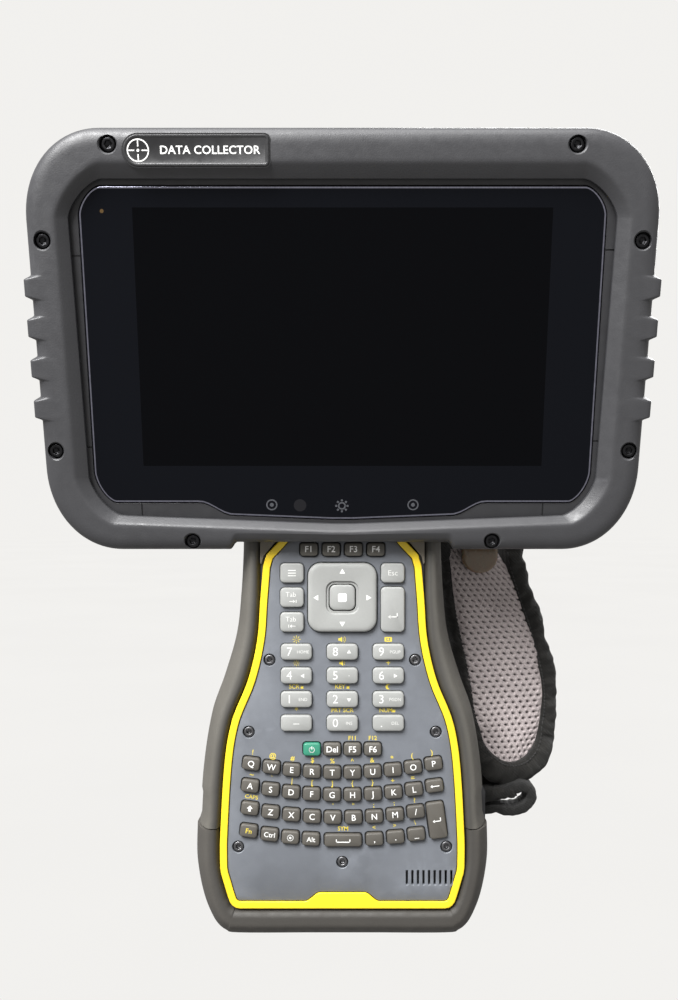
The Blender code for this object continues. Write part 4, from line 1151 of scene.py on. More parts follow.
def make_direction_pad():
    outer = dpad_box(DPAD_SIZE, 5.0, 10)
    hole = dpad_box(DPAD_HOLE, 3.2, 10)
    crown = dpad_box(DPAD_SIZE - 2.6, 4.2, 10)
    lip = dpad_box(DPAD_HOLE + 0.5, 3.4, 10)
    collar = dpad_box(DPAD_CENTRE + 0.7, 2.6, 10)
    loops = levels((collar, -1.7), (outer, -1.7), (outer, 1.7), (crown, 2.2),
                   (lip, 2.15), (hole, 1.35), (collar, 1.5))
    bm = loft(filleted(loops, (0, 0, 0.9, 1.0, 0.25, 0.1, 0.1), 4, closed=True), closed=True)
    add_piece("direction_ring", bm, KEYPAD, "light_key", body="direction_pad",
              replaces=["direction_pad"])
    marks = [[(x + px, DPAD_HEIGHT + y + py) for px, py in triangle(1.25, turn)[0]]
             for turn, x, y in ((UP, 0, 10), (DOWN, 0, -10), (LEFT, -10, 0), (RIGHT, 10, 0))]
    add_marks("direction_marks", marks, 2.1, 2.23, KEYPAD, "white_ink", "light_key", "direction_pad")
    loops = levels((dpad_box(DPAD_CENTRE, 2.4), -1.7),
                   (dpad_box(DPAD_CENTRE, 2.4), 1.5),
                   (dpad_box(DPAD_CENTRE - 1.4, 1.9), 1.8))
    add_piece("select_cap", loft(filleted(loops, (0, 0.7, 0), 5)), KEYPAD, "light_key", "light_key",
              body="key_select", replaces=["key_select"])
    add_marks("select_mark", [dpad_box(3.3, 0.6)], 1.78, 1.84, KEYPAD, "white_ink", "light_key", "key_select")


def make_letter_keypad():
    """The letter block: one silicone mat, seen as its sheet between the keys and the keys themselves."""
    keys = letter_keys()
    bm = bmesh.new()
    half, low, top = 41.2, 36.0, 69.4
    sheet = [(-half, low), (half, low)]
    sheet += [(x, top + x * x / (2 * ROW_RADIUS)) for x in (half, 30, 16, -16, -30, -half)]
    add_loft(bm, levels((sheet, -3.3), (sheet, -2.3)))
    for label, x, y, turn, width, height in keys:
        add_loft(bm, cap_loops(width, height, 1.25, x, y, turn, foot=-2.6, top=KEY_PROUD, edge=0.65))
    add_piece("letter_caps", bm, KEYPAD, "key_silicone", replaces=["letter_keypad"])
    white, yellow = bmesh.new(), bmesh.new()
    for label, x, y, turn, width, height in keys:
        ink = yellow if label == "Fn" else white
        size = 3.5 if label.startswith(":") else LETTER_SIZE if len(label) == 1 else WORD_SIZE
        add_label(ink, label, size, x, y, KEY_PROUD - INK_SUNK, turn, bold=MAT_BOLD)
    add_piece("letter_white", white, KEYPAD, "white_ink", "key_silicone")
    add_piece("letter_yellow", yellow, KEYPAD, "yellow_ink", "key_silicone")


def fill_flat(bm, loops, z):
    """Fills an outline less its holes, and returns each loop's vertices, the outline's first."""
    rings = [[bm.verts.new(point) for point in at_level(loop, z)] for loop in loops]
    edges = [bm.edges.new((ring[i - 1], ring[i])) for ring in rings for i in range(len(ring))]
    bmesh.ops.triangle_fill(bm, use_beauty=True, edges=edges, normal=(0, 0, 1))
    return rings


def panel_holes(grow):
    """Every opening in the keypad panel, each grown by that much at its edge."""
    holes = [rounded_box(width + 2 * grow, height + 2 * grow, radius + grow * 0.6, x, y, steps=5)
             for x, y, width, height, radius, *_ in moving_keys().values()]
    holes += [rounded_box(width + 2 * grow, height + 2 * grow, 1.25 + grow * 0.6, x, y, turn, steps=5)
              for _, x, y, turn, width, height in letter_keys()]
    holes.append(dpad_box(DPAD_SIZE + 2 * grow, 5.1 + grow, 8))
    holes += [circle(x, y, KEYPAD_SCREW_R - 0.3 + grow, 28) for x, y in KEYPAD_SCREWS]
    width, height = SPEAKER_SLOT[0] + 2 * grow - 0.5, SPEAKER_SLOT[1] + 2 * grow
    for i in range(SPEAKER_SLOTS):
        x = SPEAKER_X + (i - (SPEAKER_SLOTS - 1) / 2) * SPEAKER_PITCH
        holes.append(rounded_box(width, height, 0.15 + grow * 0.3, x, SPEAKER_HEIGHT, steps=3))
    return holes


def make_keypad_panel():
    bm = bmesh.new()
    outline = panel_edge()
    sides = [inset(outline, GAP), *panel_holes(0.3)]
    back = fill_flat(bm, sides, -PANEL_THICK)
    front = fill_flat(bm, [inset(outline, GAP + 0.3), *panel_holes(0.5)], 0.0)
    lip = [[bm.verts.new(p) for p in at_level(loop, -0.2)] for loop in sides]
    for first, second, third in zip(back, lip, front):
        ring_of_quads(bm, first, second)
        ring_of_quads(bm, second, third)
    add_piece("panel_skin", bm, KEYPAD, "panel_plastic", replaces=["keypad_panel"])
    places = [KEYPAD @ Matrix.Translation((x, y, 0)) for x, y in KEYPAD_SCREWS]
    add_screws("keypad_screw", places, 23, (2.15, 1.1, -0.35, 1.6), "panel_screw")


def make_panel_print():
    """Second functions, printed on the panel above their keys."""
    bm = bmesh.new()
    z = -INK_SUNK
    rows = ((":sun", ":speaker", ":camera"), (":sun", ":speaker_low", "+"), ("SCR:lock", "KEY:lock", ":moon"),
            ("*", "PRT SCR", "NUM:lock"))
    for i, row in enumerate(rows):
        y = NUMBER_TOP - i * NUMBER_PITCH + 4.75
        for label, x in zip(row, (-NUMBER_X, 0, NUMBER_X)):
            words, _, extra = label.partition(":")
            if words and extra:
                add_words(bm, words, PRINT_SIZE, x - 0.9, y, z, bold=PRINT_BOLD)
                add_icon(bm, extra, x + 2.2, y, z, size=0.85)
            elif extra:
                add_icon(bm, extra, x, y, z, size=0.72 if i == 1 and extra == "sun" else 0.9)
            else:
                add_words(bm, words, PRINT_SIZE if len(words) > 1 else 3.0, x, y, z, bold=PRINT_BOLD)
    for i, word in enumerate(("F11", "F12")):
        x, y = (i + 0.5) * POWER_ROW_PITCH, POWER_ROW_HEIGHT + 4.1
        add_words(bm, word, PRINT_SIZE, x, y, z, bold=PRINT_BOLD)
    for (height, pitch, shift, labels), tops in zip(LETTER_ROWS, LETTER_TOPS):
        count = len(labels.split())
        for i, word in enumerate(tops.split()):
            x, y, turn = on_row((i - (count - 1) / 2) * pitch + shift, height)
            if word != ":none":
                size = 2.2 if len(word) > 1 else 2.7
                x, y = x - 4.2 * math.sin(turn), y + 4.2 * math.cos(turn)
                add_words(bm, word, size, x, y, z, turn, bold=PRINT_BOLD)
    for x, word in BOTTOM_TOPS:
        x, y, turn = on_row(x, BOTTOM_ROW_HEIGHT)
        add_words(bm, word, PRINT_SIZE, x - 4.2 * math.sin(turn), y + 4.2, z, turn, bold=PRINT_BOLD)
    add_piece("panel_print", bm, KEYPAD, "yellow_ink", "panel_plastic")


# ---------------------------------------------------------------- bumpers

BUMPER_LINE = ((160.0, 40.1), (151.0, 40.2), (136.0, 41.0), (119.5, 42.8), (103.0, 47.5), (89.0, 52.4),
               (67.0, 56.0), (39.0, 57.8))
BUMPER_FOOT = ((57.8, 44.0), (58.0, 33.0), (57.2, 25.0), (55.6, 17.0), (53.4, 10.5), (50.3, 4.6),
               (46.4, 1.2), (41.0, 0.0), (14.3, 0.0))
BUMPER_FOOT_INNER = ((48.1, 43.8), (48.1, 32.0), (46.9, 24.0), (45.0, 17.4), (44.2, 15.8), (43.4, 14.2),
                     (42.0, 13.2), (40.0, 12.6), (14.3, 12.6))
BUMPER_SEAM = 44.0
BUMPER_INNER_LEAST = 31.2
NECK_TOP = 160.0
NECK_RISE = math.tan(math.radians(SCREEN_TILT))
BUMPER_SECTION = ((0, -1.6), (0.1, 0.3), (0.2, 1.1), (0.52, 0.9), (0.84, -3.4), (1, -9.0), (0.97, -17.0),
                  (0.94, -22.0), (0.6, -29.0), (0, -29.0))
# Where the painted shade on a bumper's inner flank fades out, in points across its section counted from its
# inner edge.
FLANK_CREST = (7, 11)
BUMPER_DRAWN_IN = 0.7
NOTCH_FOOT = (47.0, 48.2)
NOTCH_TOP = (56.5, 58.5)
NOTCH_DEPTH = 0.55
BUMPER_RADII = (0, 0.4, 0.8, 1.4, 2.4, 2.0, 0, 2.5, 2.0, 0)


def bumper_section(inner, outer):
    return [(inner[0] + (outer[0] - inner[0]) * share, inner[1] + (outer[1] - inner[1]) * share, z)
            for share, z in BUMPER_SECTION]


def add_bumper(name, loops, material, replaced):
    """A bumper's skin, whose inner flank, up to the crest, is darker than the rest: painted shade for the
    groove beside the band.
    """
    bm = loft(list(zip(*loops)))
    flank = bm.verts.layers.float.new("flank")
    for i, vert in enumerate(bm.verts):
        vert[flank] = 1 - smooth_step(*FLANK_CREST, i % len(loops))
    add_piece(name, bm, KEYPAD, material, "bumper_rubber", replaces=[replaced])


def make_side_bumpers():
    steps = 58
    for name, side in (("right_bumper", 1), ("left_bumper", -1)):
        sections = []
        for i in range(steps + 1):
            height = NECK_TOP + (BUMPER_SEAM + GAP - NECK_TOP) * i / steps
            inner = max(smooth_value(TRIM_LINE, min(height, TRIM_TOP)) + GAP, BUMPER_INNER_LEAST + 1.1)
            notch = smooth_step(*NOTCH_FOOT, height) * (1 - smooth_step(*NOTCH_TOP, height))
            outer = smooth_value(BUMPER_LINE, height) - BUMPER_DRAWN_IN - NOTCH_DEPTH * notch
            section = bumper_section((inner, height), (outer, height))
            if i == 0:
                section = [(x, y + max(0, SHELL_FRONT - z) * NECK_RISE, z) for x, y, z in section]
            sections.append([(side * x, y, z) for x, y, z in section])
        loops = filleted(list(zip(*sections)), BUMPER_RADII, 3)
        add_bumper(f"{name}_skin", loops, "bumper_rubber", name)


def make_lower_bumper():
    inner = smooth_path([(*p, 0) for p in BUMPER_FOOT_INNER], 5)
    outer = smooth_path([(*p, 0) for p in BUMPER_FOOT], 5)
    right = [((i.x, i.y), (o.x, o.y)) for i, o in zip(inner, outer)]
    left = [((-ix, iy), (-ox, oy)) for (ix, iy), (ox, oy) in reversed(right)]
    sections = [bumper_section(*pair) for pair in right + left]
    loops = filleted(list(zip(*sections)), BUMPER_RADII, 3)
    # Its darker foot rubber is painted shade for the foot that faces down.
    add_bumper("lower_bumper_skin", loops, "foot_rubber", "lower_bumper")


def make_fillers():
    """The pale wedges between the band's head and the bumpers, under the head's lower edge."""
    for name, side in (("left", -1), ("right", 1)):
        outline = [(23.0, 159.9), (25.9, 156.2), (30.9, 150.3), (31.6, 147.5), (32.1, 147.5), (32.1, 159.9)]
        outline = [(side * x, y) for x, y in outline]
        loops = filleted(levels((outline, -2.0), (outline, -0.5)), (0, 0), 2)
        add_piece(f"shoulder_filler_{name}", loft(loops), KEYPAD, "filler", "bumper_rubber")


# ---------------------------------------------------------------- hand strap

# (height, left edge x, left edge z, right edge x, right edge z), top first
STRAP_STATIONS = ((148, 40, -37.5, 78, -43), (133, 41.5, -38.5, 83, -48), (119, 44, -39.5, 88, -52),
                  (105, 47, -40.5, 92, -54), (92, 49.5, -40.5, 94.5, -55), (79, 51, -40, 94.5, -54),
                  (67, 52.5, -39, 92, -51), (58, 54, -38, 88, -47), (52, 57, -38, 83, -44))
PAD_TOP = 153.5
PAD_SHOULDER = 72.0
PAD_FOOT = 49.5
PAD_THICK = 5.6
MESH_LEFT = ((151.0, 45.0), (133.0, 46.8), (111.0, 49.6), (91.0, 52.2), (72.0, 54.2), (58.0, 57.0))
MESH_RIGHT = ((151.0, 65.6), (139.4, 72.4), (124.0, 78.5), (107.6, 83.9), (96.0, 86.0), (84.0, 86.2),
              (69.0, 83.8), (58.0, 81.0))
MESH_FOOT = 57.6
MESH_FOOT_ROUND = 8.0
MESH_PITCH = (3.15, 2.35)
MESH_HOLE_HALF = (0.95, 0.78)
MESH_STEP = 0.42
WEBBING_PATH = ((50.0, 45.4), (62.0, 46.6), (68.0, 47.6), (73.5, 49.6), (77.4, 50.2), (80.2, 48.4),
                (80.6, 45.2), (78.4, 42.0), (74.6, 40.2), (70.0, 39.8), (65.0, 40.9), (57.0, 39.4),
                (50.0, 39.0))
WEBBING_UPPER = ((74.0, 48.6), (71.0, 48.0), (67.0, 47.4), (62.0, 46.6), (54.0, 44.6), (50.0, 44.0))
WEBBING_BUNCH = ((57.0, 53.6), (63.0, 51.9), (68.0, 50.6), (73.0, 50.0))
WEBBING_SPAN = (-47.6, -33.6)
BUNCH_SPAN = (-53.0, -43.0)
# name, material, then the path, thickness, ruffle, seed, taper and span that band_loops takes
WEBBING_BANDS = (("strap_loop", "strap_webbing", WEBBING_PATH, 5.6, 0.5, 1.0, 0.42, WEBBING_SPAN),
                 ("strap_loop_upper", "strap_binding", WEBBING_UPPER, 5.4, 1.0, 9.0, 0.0, WEBBING_SPAN),
                 ("strap_loop_bunch", "strap_binding", WEBBING_BUNCH, 9.0, 0.9, 4.0, 0.5, BUNCH_SPAN))
BACK_BAND_FOOT = 53.0
TAB_MIDDLE = 58.0
TAB_HALF = 7.6
TAB_ROUND = 148.4
TAB_TOP = 156.0
TAB_SPAN = (-34.2, -31.2)
# name, width, height, corner, middle, back, front, how much smaller the crown is, its corner, edge rounding
STRAP_HOLDERS = (("strap_bracket", 16.0, 9.0, 4.0, 37.6, 150.6, -33.0, -29.6, 1.2, 3.4, 0.6),
                 ("strap_tab_bar", 26.0, 5.0, 1.6, 54.6, 154.2, -35.0, -30.0, 1.0, 1.2, 0.5))


def strap_knots(column):
    return [(station[0], station[column]) for station in STRAP_STATIONS]


def strap_edges(height):
    """The pad's left and right edge at a height."""
    at = min(max(height, STRAP_STATIONS[-1][0]), STRAP_STATIONS[0][0])
    left_x, left_z, right_x, right_z = [smooth_value(strap_knots(column), at) for column in (1, 2, 3, 4)]
    return Vector((left_x, height, left_z)), Vector((right_x, height, right_z))


def strap_normal(height):
    left, right = strap_edges(height)
    across = (right - left).normalized()
    return Vector((-across.z, 0, across.x))


def strap_point(x, height, lift=0.0):
    """The point of the pad's middle sheet at that x, lifted towards its front."""
    left, right = strap_edges(height)
    share = (x - left.x) / (right.x - left.x)
    return left.lerp(right, share) + strap_normal(height) * lift


def pad_rim():
    """The pad's outline, down its right edge, round its foot and up its left edge."""
    steps = 46
    heights = [PAD_TOP + (PAD_SHOULDER - PAD_TOP) * i / steps for i in range(steps + 1)]
    right = [strap_edges(height)[1] for height in heights]
    left = [strap_edges(height)[0] for height in heights]
    across = (right[-1].x - left[-1].x) / 2
    middle = (right[-1].x + left[-1].x) / 2
    foot = []
    for i in range(1, 28):
        turn = math.pi * i / 28
        x = middle + across * math.cos(turn)
        height = PAD_SHOULDER - (PAD_SHOULDER - PAD_FOOT) * math.sin(turn)
        foot.append(strap_point(x, height))
    return right + foot + left[::-1]


def inflated(obj, cap):
    """Swells the closed piece by cloth under pressure, each point moving no further than the cap."""
    scene = bpy.context.scene
    rest = [v.co.copy() for v in obj.data.vertices]
    cloth = obj.modifiers.new("swell", "CLOTH")
    cloth.settings.use_pressure = True
    cloth.settings.uniform_pressure_force = 4
    cloth.settings.effector_weights.gravity = 0
    cloth.settings.quality = 6
    cloth.point_cache.frame_start = 1
    cloth.point_cache.frame_end = 20
    for step in range(1, 21):
        scene.frame_set(step)
    graph = bpy.context.evaluated_depsgraph_get()
    swollen = [v.co.copy() for v in obj.evaluated_get(graph).data.vertices]
    obj.modifiers.clear()
    for vertex, start, end in zip(obj.data.vertices, rest, swollen):
        move = end - start
        if move.length > cap:
            move *= cap / move.length
        vertex.co = start + move
    scene.frame_set(1)


def make_strap_core():
    """The pad's stuffing in its black cover, swollen as cloth."""
    loops = []
    steps = 34
    for i in range(steps + 1):
        height = PAD_TOP + (PAD_FOOT + 2.5 - PAD_TOP) * i / steps
        left, right = strap_edges(height)
        narrow = 2.4 + 7.5 * smooth_step(PAD_SHOULDER + 3, PAD_FOOT, height)
        across = (right - left).normalized()
        left, right = left + across * narrow, right - across * narrow
        normal, middle, half = strap_normal(height), (left + right) / 2, (right - left).length / 2
        end = (0.5 + 0.5 * smooth_step(0, 3, i)) * (0.45 + 0.55 * smooth_step(0, 3, steps - i))
        thick = PAD_THICK * 0.85 * end
        outline = rounded_box(2 * half, thick, thick * 0.48, steps=3)
        loops.append([middle + across * x + normal * y for x, y in outline])
    bm = loft(loops)
    bm.transform(KEYPAD)
    bmesh.ops.recalc_face_normals(bm, faces=bm.faces[:])
    core = link_object("strap_pad_core", as_mesh(bm, "strap_pad_core"))
    remesh = core.modifiers.new("remesh", "REMESH")
    remesh.mode = "VOXEL"
    remesh.voxel_size = 2.0 * MM
    bpy.context.view_layer.update()
    baked(core)
    inflated(core, 1.3 * MM)
    soften(core)
    bpy.context.view_layer.update()
    baked(core)
    core.data.shade_smooth()
    core.data.materials.clear()
    core.data.materials.append(MATERIALS["strap_cover"])
    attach(core, "housing")
    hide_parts("strap_pad")
    return core


def hole_depth(a, b):
    """How deep in a hole a point of the mesh face is, 0 to 1, and its height on the raised knit round it."""
    pitch_a, pitch_b = MESH_PITCH
    nearest = 9.0
    first = math.floor(b / pitch_b)
    for row in (first, first + 1):
        shift = 0.5 * pitch_a * (row % 2)
        column = round((a - shift) / pitch_a)
        off_a, off_b = a - shift - column * pitch_a, b - row * pitch_b
        off_a += 0.35 * off_b
        reach = math.hypot(off_a / MESH_HOLE_HALF[0], off_b / MESH_HOLE_HALF[1])
        nearest = min(nearest, reach)
    hole = 1 - smooth_step(0.72, 1.2, nearest)
    rim = math.exp(-((nearest - 1.55) / 0.38) ** 2)
    return hole, rim


def make_strap_mesh(core):
    """The spacer mesh on the pad's front: a fine sheet with a dimple at each of its holes."""
    tree = BVHTree.FromObject(core, bpy.context.evaluated_depsgraph_get())
    rows = round((PAD_TOP - 0.5 - MESH_FOOT) / MESH_STEP)
    columns = round(42.0 / MESH_STEP)
    bm = bmesh.new()
    layer = bm.verts.layers.float.new("hole")
    grid = []
    for j in range(rows + 1):
        line = []
        for i in range(columns + 1):
            share = i / columns
            foot = MESH_FOOT + MESH_FOOT_ROUND * abs(2 * share - 1) ** 3.2
            height = PAD_TOP - 0.5 + (foot - PAD_TOP + 0.5) * j / rows
            left, right = smooth_value(MESH_LEFT, height), smooth_value(MESH_RIGHT, height)
            x = left + (right - left) * share
            normal = strap_normal(height)
            start = KEYPAD @ (strap_point(x, height) + normal * 15)
            way = (KEYPAD.to_3x3() @ normal).normalized()
            hit = tree.ray_cast(start, -way)[0]
            base = KEYPAD.inverted() @ hit if hit else strap_point(x, height, PAD_THICK / 2)
            hole, rim = hole_depth((share - 0.5) * 32.0, height)
            edge = smooth_step(0, 0.06, min(share, 1 - share)) * smooth_step(0, 0.03, 1 - j / rows)
            wave = 0.35 * noise.noise(Vector((x / 9, height / 12, 3.0)))
            lift = 0.55 + wave + (0.30 * rim - 1.15 * hole) * edge
            vertex = bm.verts.new(base + normal * lift)
            vertex[layer] = hole * edge
            line.append(vertex)
        grid.append(line)
    for above, below in zip(grid, grid[1:]):
        for i in range(columns):
            bm.faces.new((above[i], above[i + 1], below[i + 1], below[i]))
    sheet = add_piece("strap_mesh", bm, KEYPAD, "mesh_fabric", "strap_fabric", sharp=180)
    thick = sheet.modifiers.new("thickness", "SOLIDIFY")
    thick.thickness = 0.5 * MM
    thick.offset = -1


BINDING_SECTION = ((1.0, 1.0), (0.9, 1.5), (0.72, 1.72), (0.5, 1.75), (0.28, 1.55), (0.1, 1.1), (0.0, 0.5),
                   (-0.03, 0.0), (0.0, -0.5), (0.1, -1.05), (0.28, -1.3), (0.5, -1.35), (0.72, -1.25),
                   (0.9, -1.05), (1.0, -0.7), (0.9, 0.1))


def rim_frames():
    """Along the pad's rim: point, inward way, normal, binding width and distance run."""
    rim = pad_rim()
    run = 0.0
    frames = []
    for i, point in enumerate(rim):
        ahead, behind = rim[min(i + 1, len(rim) - 1)], rim[max(i - 1, 0)]
        normal = strap_normal(max(point.y, PAD_FOOT))
        inward = normal.cross(ahead - behind).normalized()
        spine = strap_point(72.0, max(point.y, PAD_SHOULDER + 4))
        if inward.dot(spine - point) < 0:
            inward.negate()
        if i:
            run += (point - rim[i - 1]).length
        share = i / (len(rim) - 1)
        at_foot = math.exp(-((share - 0.5) / 0.10) ** 2)
        width = 9.2 - 4.2 * smooth_step(0.55, 0.68, share) + 1.6 * at_foot
        frames.append((point, inward, normal, width, run))
    return frames


def between(a, b, t):
    return a.lerp(b, t) if isinstance(a, Vector) else a + (b - a) * t


def make_strap_binding():
    """The wide tape that wraps the pad's edge, puckered where it is sewn."""
    frames = rim_frames()
    dense = []
    for before, after in zip(frames, frames[1:]):
        dense += [[between(a, b, step / 3) for a, b in zip(before, after)] for step in range(3)]
    dense.append(frames[-1])
    loops = []
    for point, inward, normal, width, run in dense:
        loop = []
        for share, level in BINDING_SECTION:
            fold = noise.noise(Vector((run / 4.2, share * 1.6, level * 0.6)))
            crease = noise.noise(Vector((run / 1.7 + share * 2.2, share * 2.6, level + 7)))
            billow = noise.noise(Vector((run / 13.0, 2.0, 5.0)))
            puff = 1 - abs(2 * share - 1) ** 2 * 0.6 if level > 0 else 0.5
            lift = level * PAD_THICK / 2 + (1.5 * fold + 0.9 * crease) * puff * (1 if level >= 0 else -1)
            out = share * width - (1.4 * billow + 0.7 * fold) * (1 - share)
            loop.append(point + inward * out + normal * lift)
        loops.append(loop)
    binding = add_piece("strap_binding", loft(loops), KEYPAD, "strap_binding", "strap_fabric", sharp=180)
    soften(binding)
    return frames


def add_thread(bm, start, end, normal, thick):
    """One stitch: a short rounded thread that dips in at both ends."""
    along = (end - start)
    side = along.cross(normal).normalized()
    loops = []
    for t, lift in ((0.0, -0.25), (0.15, 0.12), (0.5, 0.25), (0.85, 0.12), (1.0, -0.25)):
        middle = start + along * t + normal * lift
        loops.append([middle + side * thick * math.cos(a) + normal * thick * math.sin(a)
                      for a in [math.pi / 3 * k for k in range(6)]])
    add_loft(bm, loops)


def seam_point(frame):
    """Where the binding is sewn down, near its inner edge."""
    point, inward, normal, width, _ = frame
    return point + inward * (width * 0.86) + normal * (PAD_THICK / 2 * 1.62)


def make_strap_stitches(frames):
    bm = bmesh.new()
    for frame, after in zip(frames[2:-2], frames[3:]):
        start = seam_point(frame)
        add_thread(bm, start, start.lerp(seam_point(after), 0.66), frame[2], 0.22)
    add_piece("strap_stitches", bm, KEYPAD, "thread", "strap_fabric")


def band_loops(path, thick, ruffle, seed, taper, span):
    """A flat band seen on its edge, through (x, height) points, wide across its span, thinner at its end."""
    points = smooth_path([(x, y, 0) for x, y in path], 8)
    back, front = span
    section = [(back, 0.5), (back + 1, 1), ((back + front) / 2, 1), (front - 1, 1), (front, 0.5)]
    section += [(z, -side) for z, side in reversed(section)]
    loops = []
    for i, point in enumerate(points):
        along = (points[min(i + 1, len(points) - 1)] - points[max(i - 1, 0)]).normalized()
        out = Vector((along.y, -along.x, 0))
        loop = []
        for z, side in section:
            wave = noise.noise(Vector((i / 3.0 + seed, z / 5.0, side)))
            half = thick / 2 * (1 - taper * i / (len(points) - 1))
            spot = point + out * (side * half + ruffle * wave)
            loop.append((spot.x, spot.y, z + ruffle * 1.4 * noise.noise(Vector((i / 4.0, side * 2, seed)))))
        loops.append(loop)
    return loops


def make_strap_webbing():
    """The loop through the pad's foot, the folds above it, and the band down the pad's back."""
    for name, material, *band in WEBBING_BANDS:
        replaced = ["strap_webbing"] if name == "strap_loop" else []
        soften(add_piece(name, loft(band_loops(*band)), KEYPAD, material, "strap_webbing", replaces=replaced,
                         sharp=60))
    sections = []
    steps = 40
    top = PAD_TOP - 1.5
    for i in range(steps + 1):
        height = top + (BACK_BAND_FOOT - top) * i / steps
        left, right = strap_edges(height)
        across, normal = (right - left).normalized(), strap_normal(height)
        middle = (left + right) / 2
        wave = 0.25 * noise.noise(Vector((height / 8, 0, 0)))
        low, high = -PAD_THICK / 2 * 1.35 - 1.6 + wave, -PAD_THICK / 2 * 0.9 + wave
        outline = ((-10, low + 0.3), (-9.6, low), (9.6, low), (10, low + 0.3), (10, high), (-10, high))
        sections.append([middle + across * x + normal * y for x, y in outline])
    add_piece("strap_back_band", loft(sections), KEYPAD, "strap_webbing", sharp=60)


def make_strap_tab():
    """The amber tab in front of the pad's top, the dark bracket beside it and the bar between them."""
    x, half, foot, top = TAB_MIDDLE, TAB_HALF, TAB_ROUND - 0.9, TAB_TOP
    outline = [(x + half, top), (x + half, foot), *arc(x, TAB_ROUND, half, -8, -172, 16, 0.92),
               (x - half, foot), (x - half, top)]
    back, front = TAB_SPAN
    loops = levels((outline, back), (outline, front), (inset(outline, 1.2), front + 0.6))
    loops = filleted(loops, (0, 0.8, 0), 4)
    add_piece("strap_tab", loft(loops), KEYPAD, "anchor_plastic")
    for name, width, height, radius, x, y, low, high, draw, inner, round_over in STRAP_HOLDERS:
        outline = rounded_box(width, height, radius, x, y)
        crown = rounded_box(width - draw, height - draw, inner, x, y)
        bm = loft(filleted(levels((outline, low), (outline, high), (crown, high)), (0, round_over, 0), 3))
        replaced = ["strap_top_anchor"] if name == "strap_bracket" else []
        add_piece(name, bm, KEYPAD, "strap_webbing", "anchor_plastic", replaces=replaced)


def make_strap():
    make_strap_mesh(make_strap_core())
    make_strap_stitches(make_strap_binding())
    make_strap_webbing()
    make_strap_tab()


# ---------------------------------------------------------------- the back

BATTERY_MIDDLE = (50.0, 11.0)
BATTERY_SIZE = (76.0, 74.0)
BATTERY_BACK = -28.5
LATCH_AT = (50.0, -31.5)
LATCH_BACK = -25.0
LATCH_RAILS = ((-12.0, 3.3, 2.0, 15.0), (12.0, 3.3, 2.0, 15.0), (0, 10.2, 26.0, 2.0))
PORT_COVER_BACK = -20.8
DATA_SOCKET_AT = (0, -4.5)
POWER_SOCKET_AT = (0, 8.5)
CAMERA_AT = (0.0, 32.5)
BACK_SCREWS = ((-82, -53), (-33, -55), (33, -55), (82, -53), (0, 49))
SHELL_WALL = 3.0
SHELL_FLOOR = -24.5
SHELL_BACK = -32.5
SHELL_SCREWS = ((-34, 29), (34, 29), (-32, 84), (32, 84), (-19, 118), (19, 118))
GRIP_RIBS = 9
GRIP_PITCH = 6.0
MOUNT_SIZE = (46.0, 34.0)
MOUNT_SCREWS = ((-17, -11), (17, -11), (-17, 11), (17, 11))


def facing_back(place, x, y, z):
    """A frame at that point whose z points out of the object's back."""
    return place @ Matrix.Translation((x, y, z)) @ Matrix.Rotation(math.pi, 4, "X")


HEAD_BACK = facing_back(DISPLAY, 0, 0, 0)


def add_pad(bm, width, height, corner, x, y, low, high, crown):
    """A raised pad with a rounded edge. Its crown is smaller: (by how much, its corner)."""
    draw, inner = crown
    outline = rounded_box(width, height, corner, x, y)
    top = rounded_box(width - draw, height - draw, inner, x, y)
    add_loft(bm, filleted(levels((outline, low), (outline, high), (top, high)), (0, 0.4, 0), 3))


def add_bars(bm, count, pitch, width, height, x, y, low, high):
    """Level ridges one above another, about a middle."""
    for i in range(count):
        at = y + (i - (count - 1) / 2) * pitch
        add_pad(bm, width, height, height * 0.48, x, at, low, high, (0.8, (height - 0.8) * 0.48))


def make_batteries():
    width, height = BATTERY_SIZE
    x, y = BATTERY_MIDDLE
    for name, side in (("battery_right", 1), ("battery_left", -1)):
        at = (side * x, -y)
        case = rounded_box(width, height, 4.0, *at, steps=8)
        loops = levels((case, -HOUSING_BACK + GAP), (case, -BATTERY_BACK),
                       (rounded_box(width - 10, height - 10, 3.0, *at, steps=8), -BATTERY_BACK),
                       (rounded_box(width - 11.5, height - 11.5, 2.4, *at, steps=8), -BATTERY_BACK - 0.9))
        bm = loft(filleted(loops, (0, 2.2, 0.4, 0.3), 5))
        add_bars(bm, 7, 6.0, width - 22, 2.4, at[0], at[1] - 6, -BATTERY_BACK - 1.0, -BATTERY_BACK - 0.2)
        add_pad(bm, 9, 5, 1.6, at[0] - 18, at[1] + 26, -BATTERY_BACK - 1.0, -BATTERY_BACK - 0.2, (1, 1.2))
        add_piece(f"{name}_case", bm, HEAD_BACK, "battery_plastic", replaces=[name])
        dots = [circle(at[0] + i * 4.0 - 8.0, at[1] + 26, 0.8, 16) for i in range(4)]
        add_marks(f"{name}_gauge", dots, -BATTERY_BACK - 0.95, -BATTERY_BACK - 0.75, HEAD_BACK, "mark_grey",
                  "battery_plastic")


def make_latch_details():
    """Ridges on each latch, and the rails that it slides between."""
    x, y = LATCH_AT
    for name, side in (("battery_latch_right", 1), ("battery_latch_left", -1)):
        bm = bmesh.new()
        add_bars(bm, 3, 1.9, 13.0, 1.1, side * x, -y, -LATCH_BACK - 0.3, -LATCH_BACK + 0.4)
        add_piece(f"{name}_ridges", bm, HEAD_BACK, "guard_plastic", body=name)
        bm = bmesh.new()
        for off_x, off_y, *size in LATCH_RAILS:
            add_pad(bm, *size, 0.9, side * x + off_x, -y + off_y, -HOUSING_BACK - 0.5, -HOUSING_BACK + 2.2,
                    (0.8, 0.6))
        add_piece(f"{name}_rails", bm, HEAD_BACK, "black_plastic")


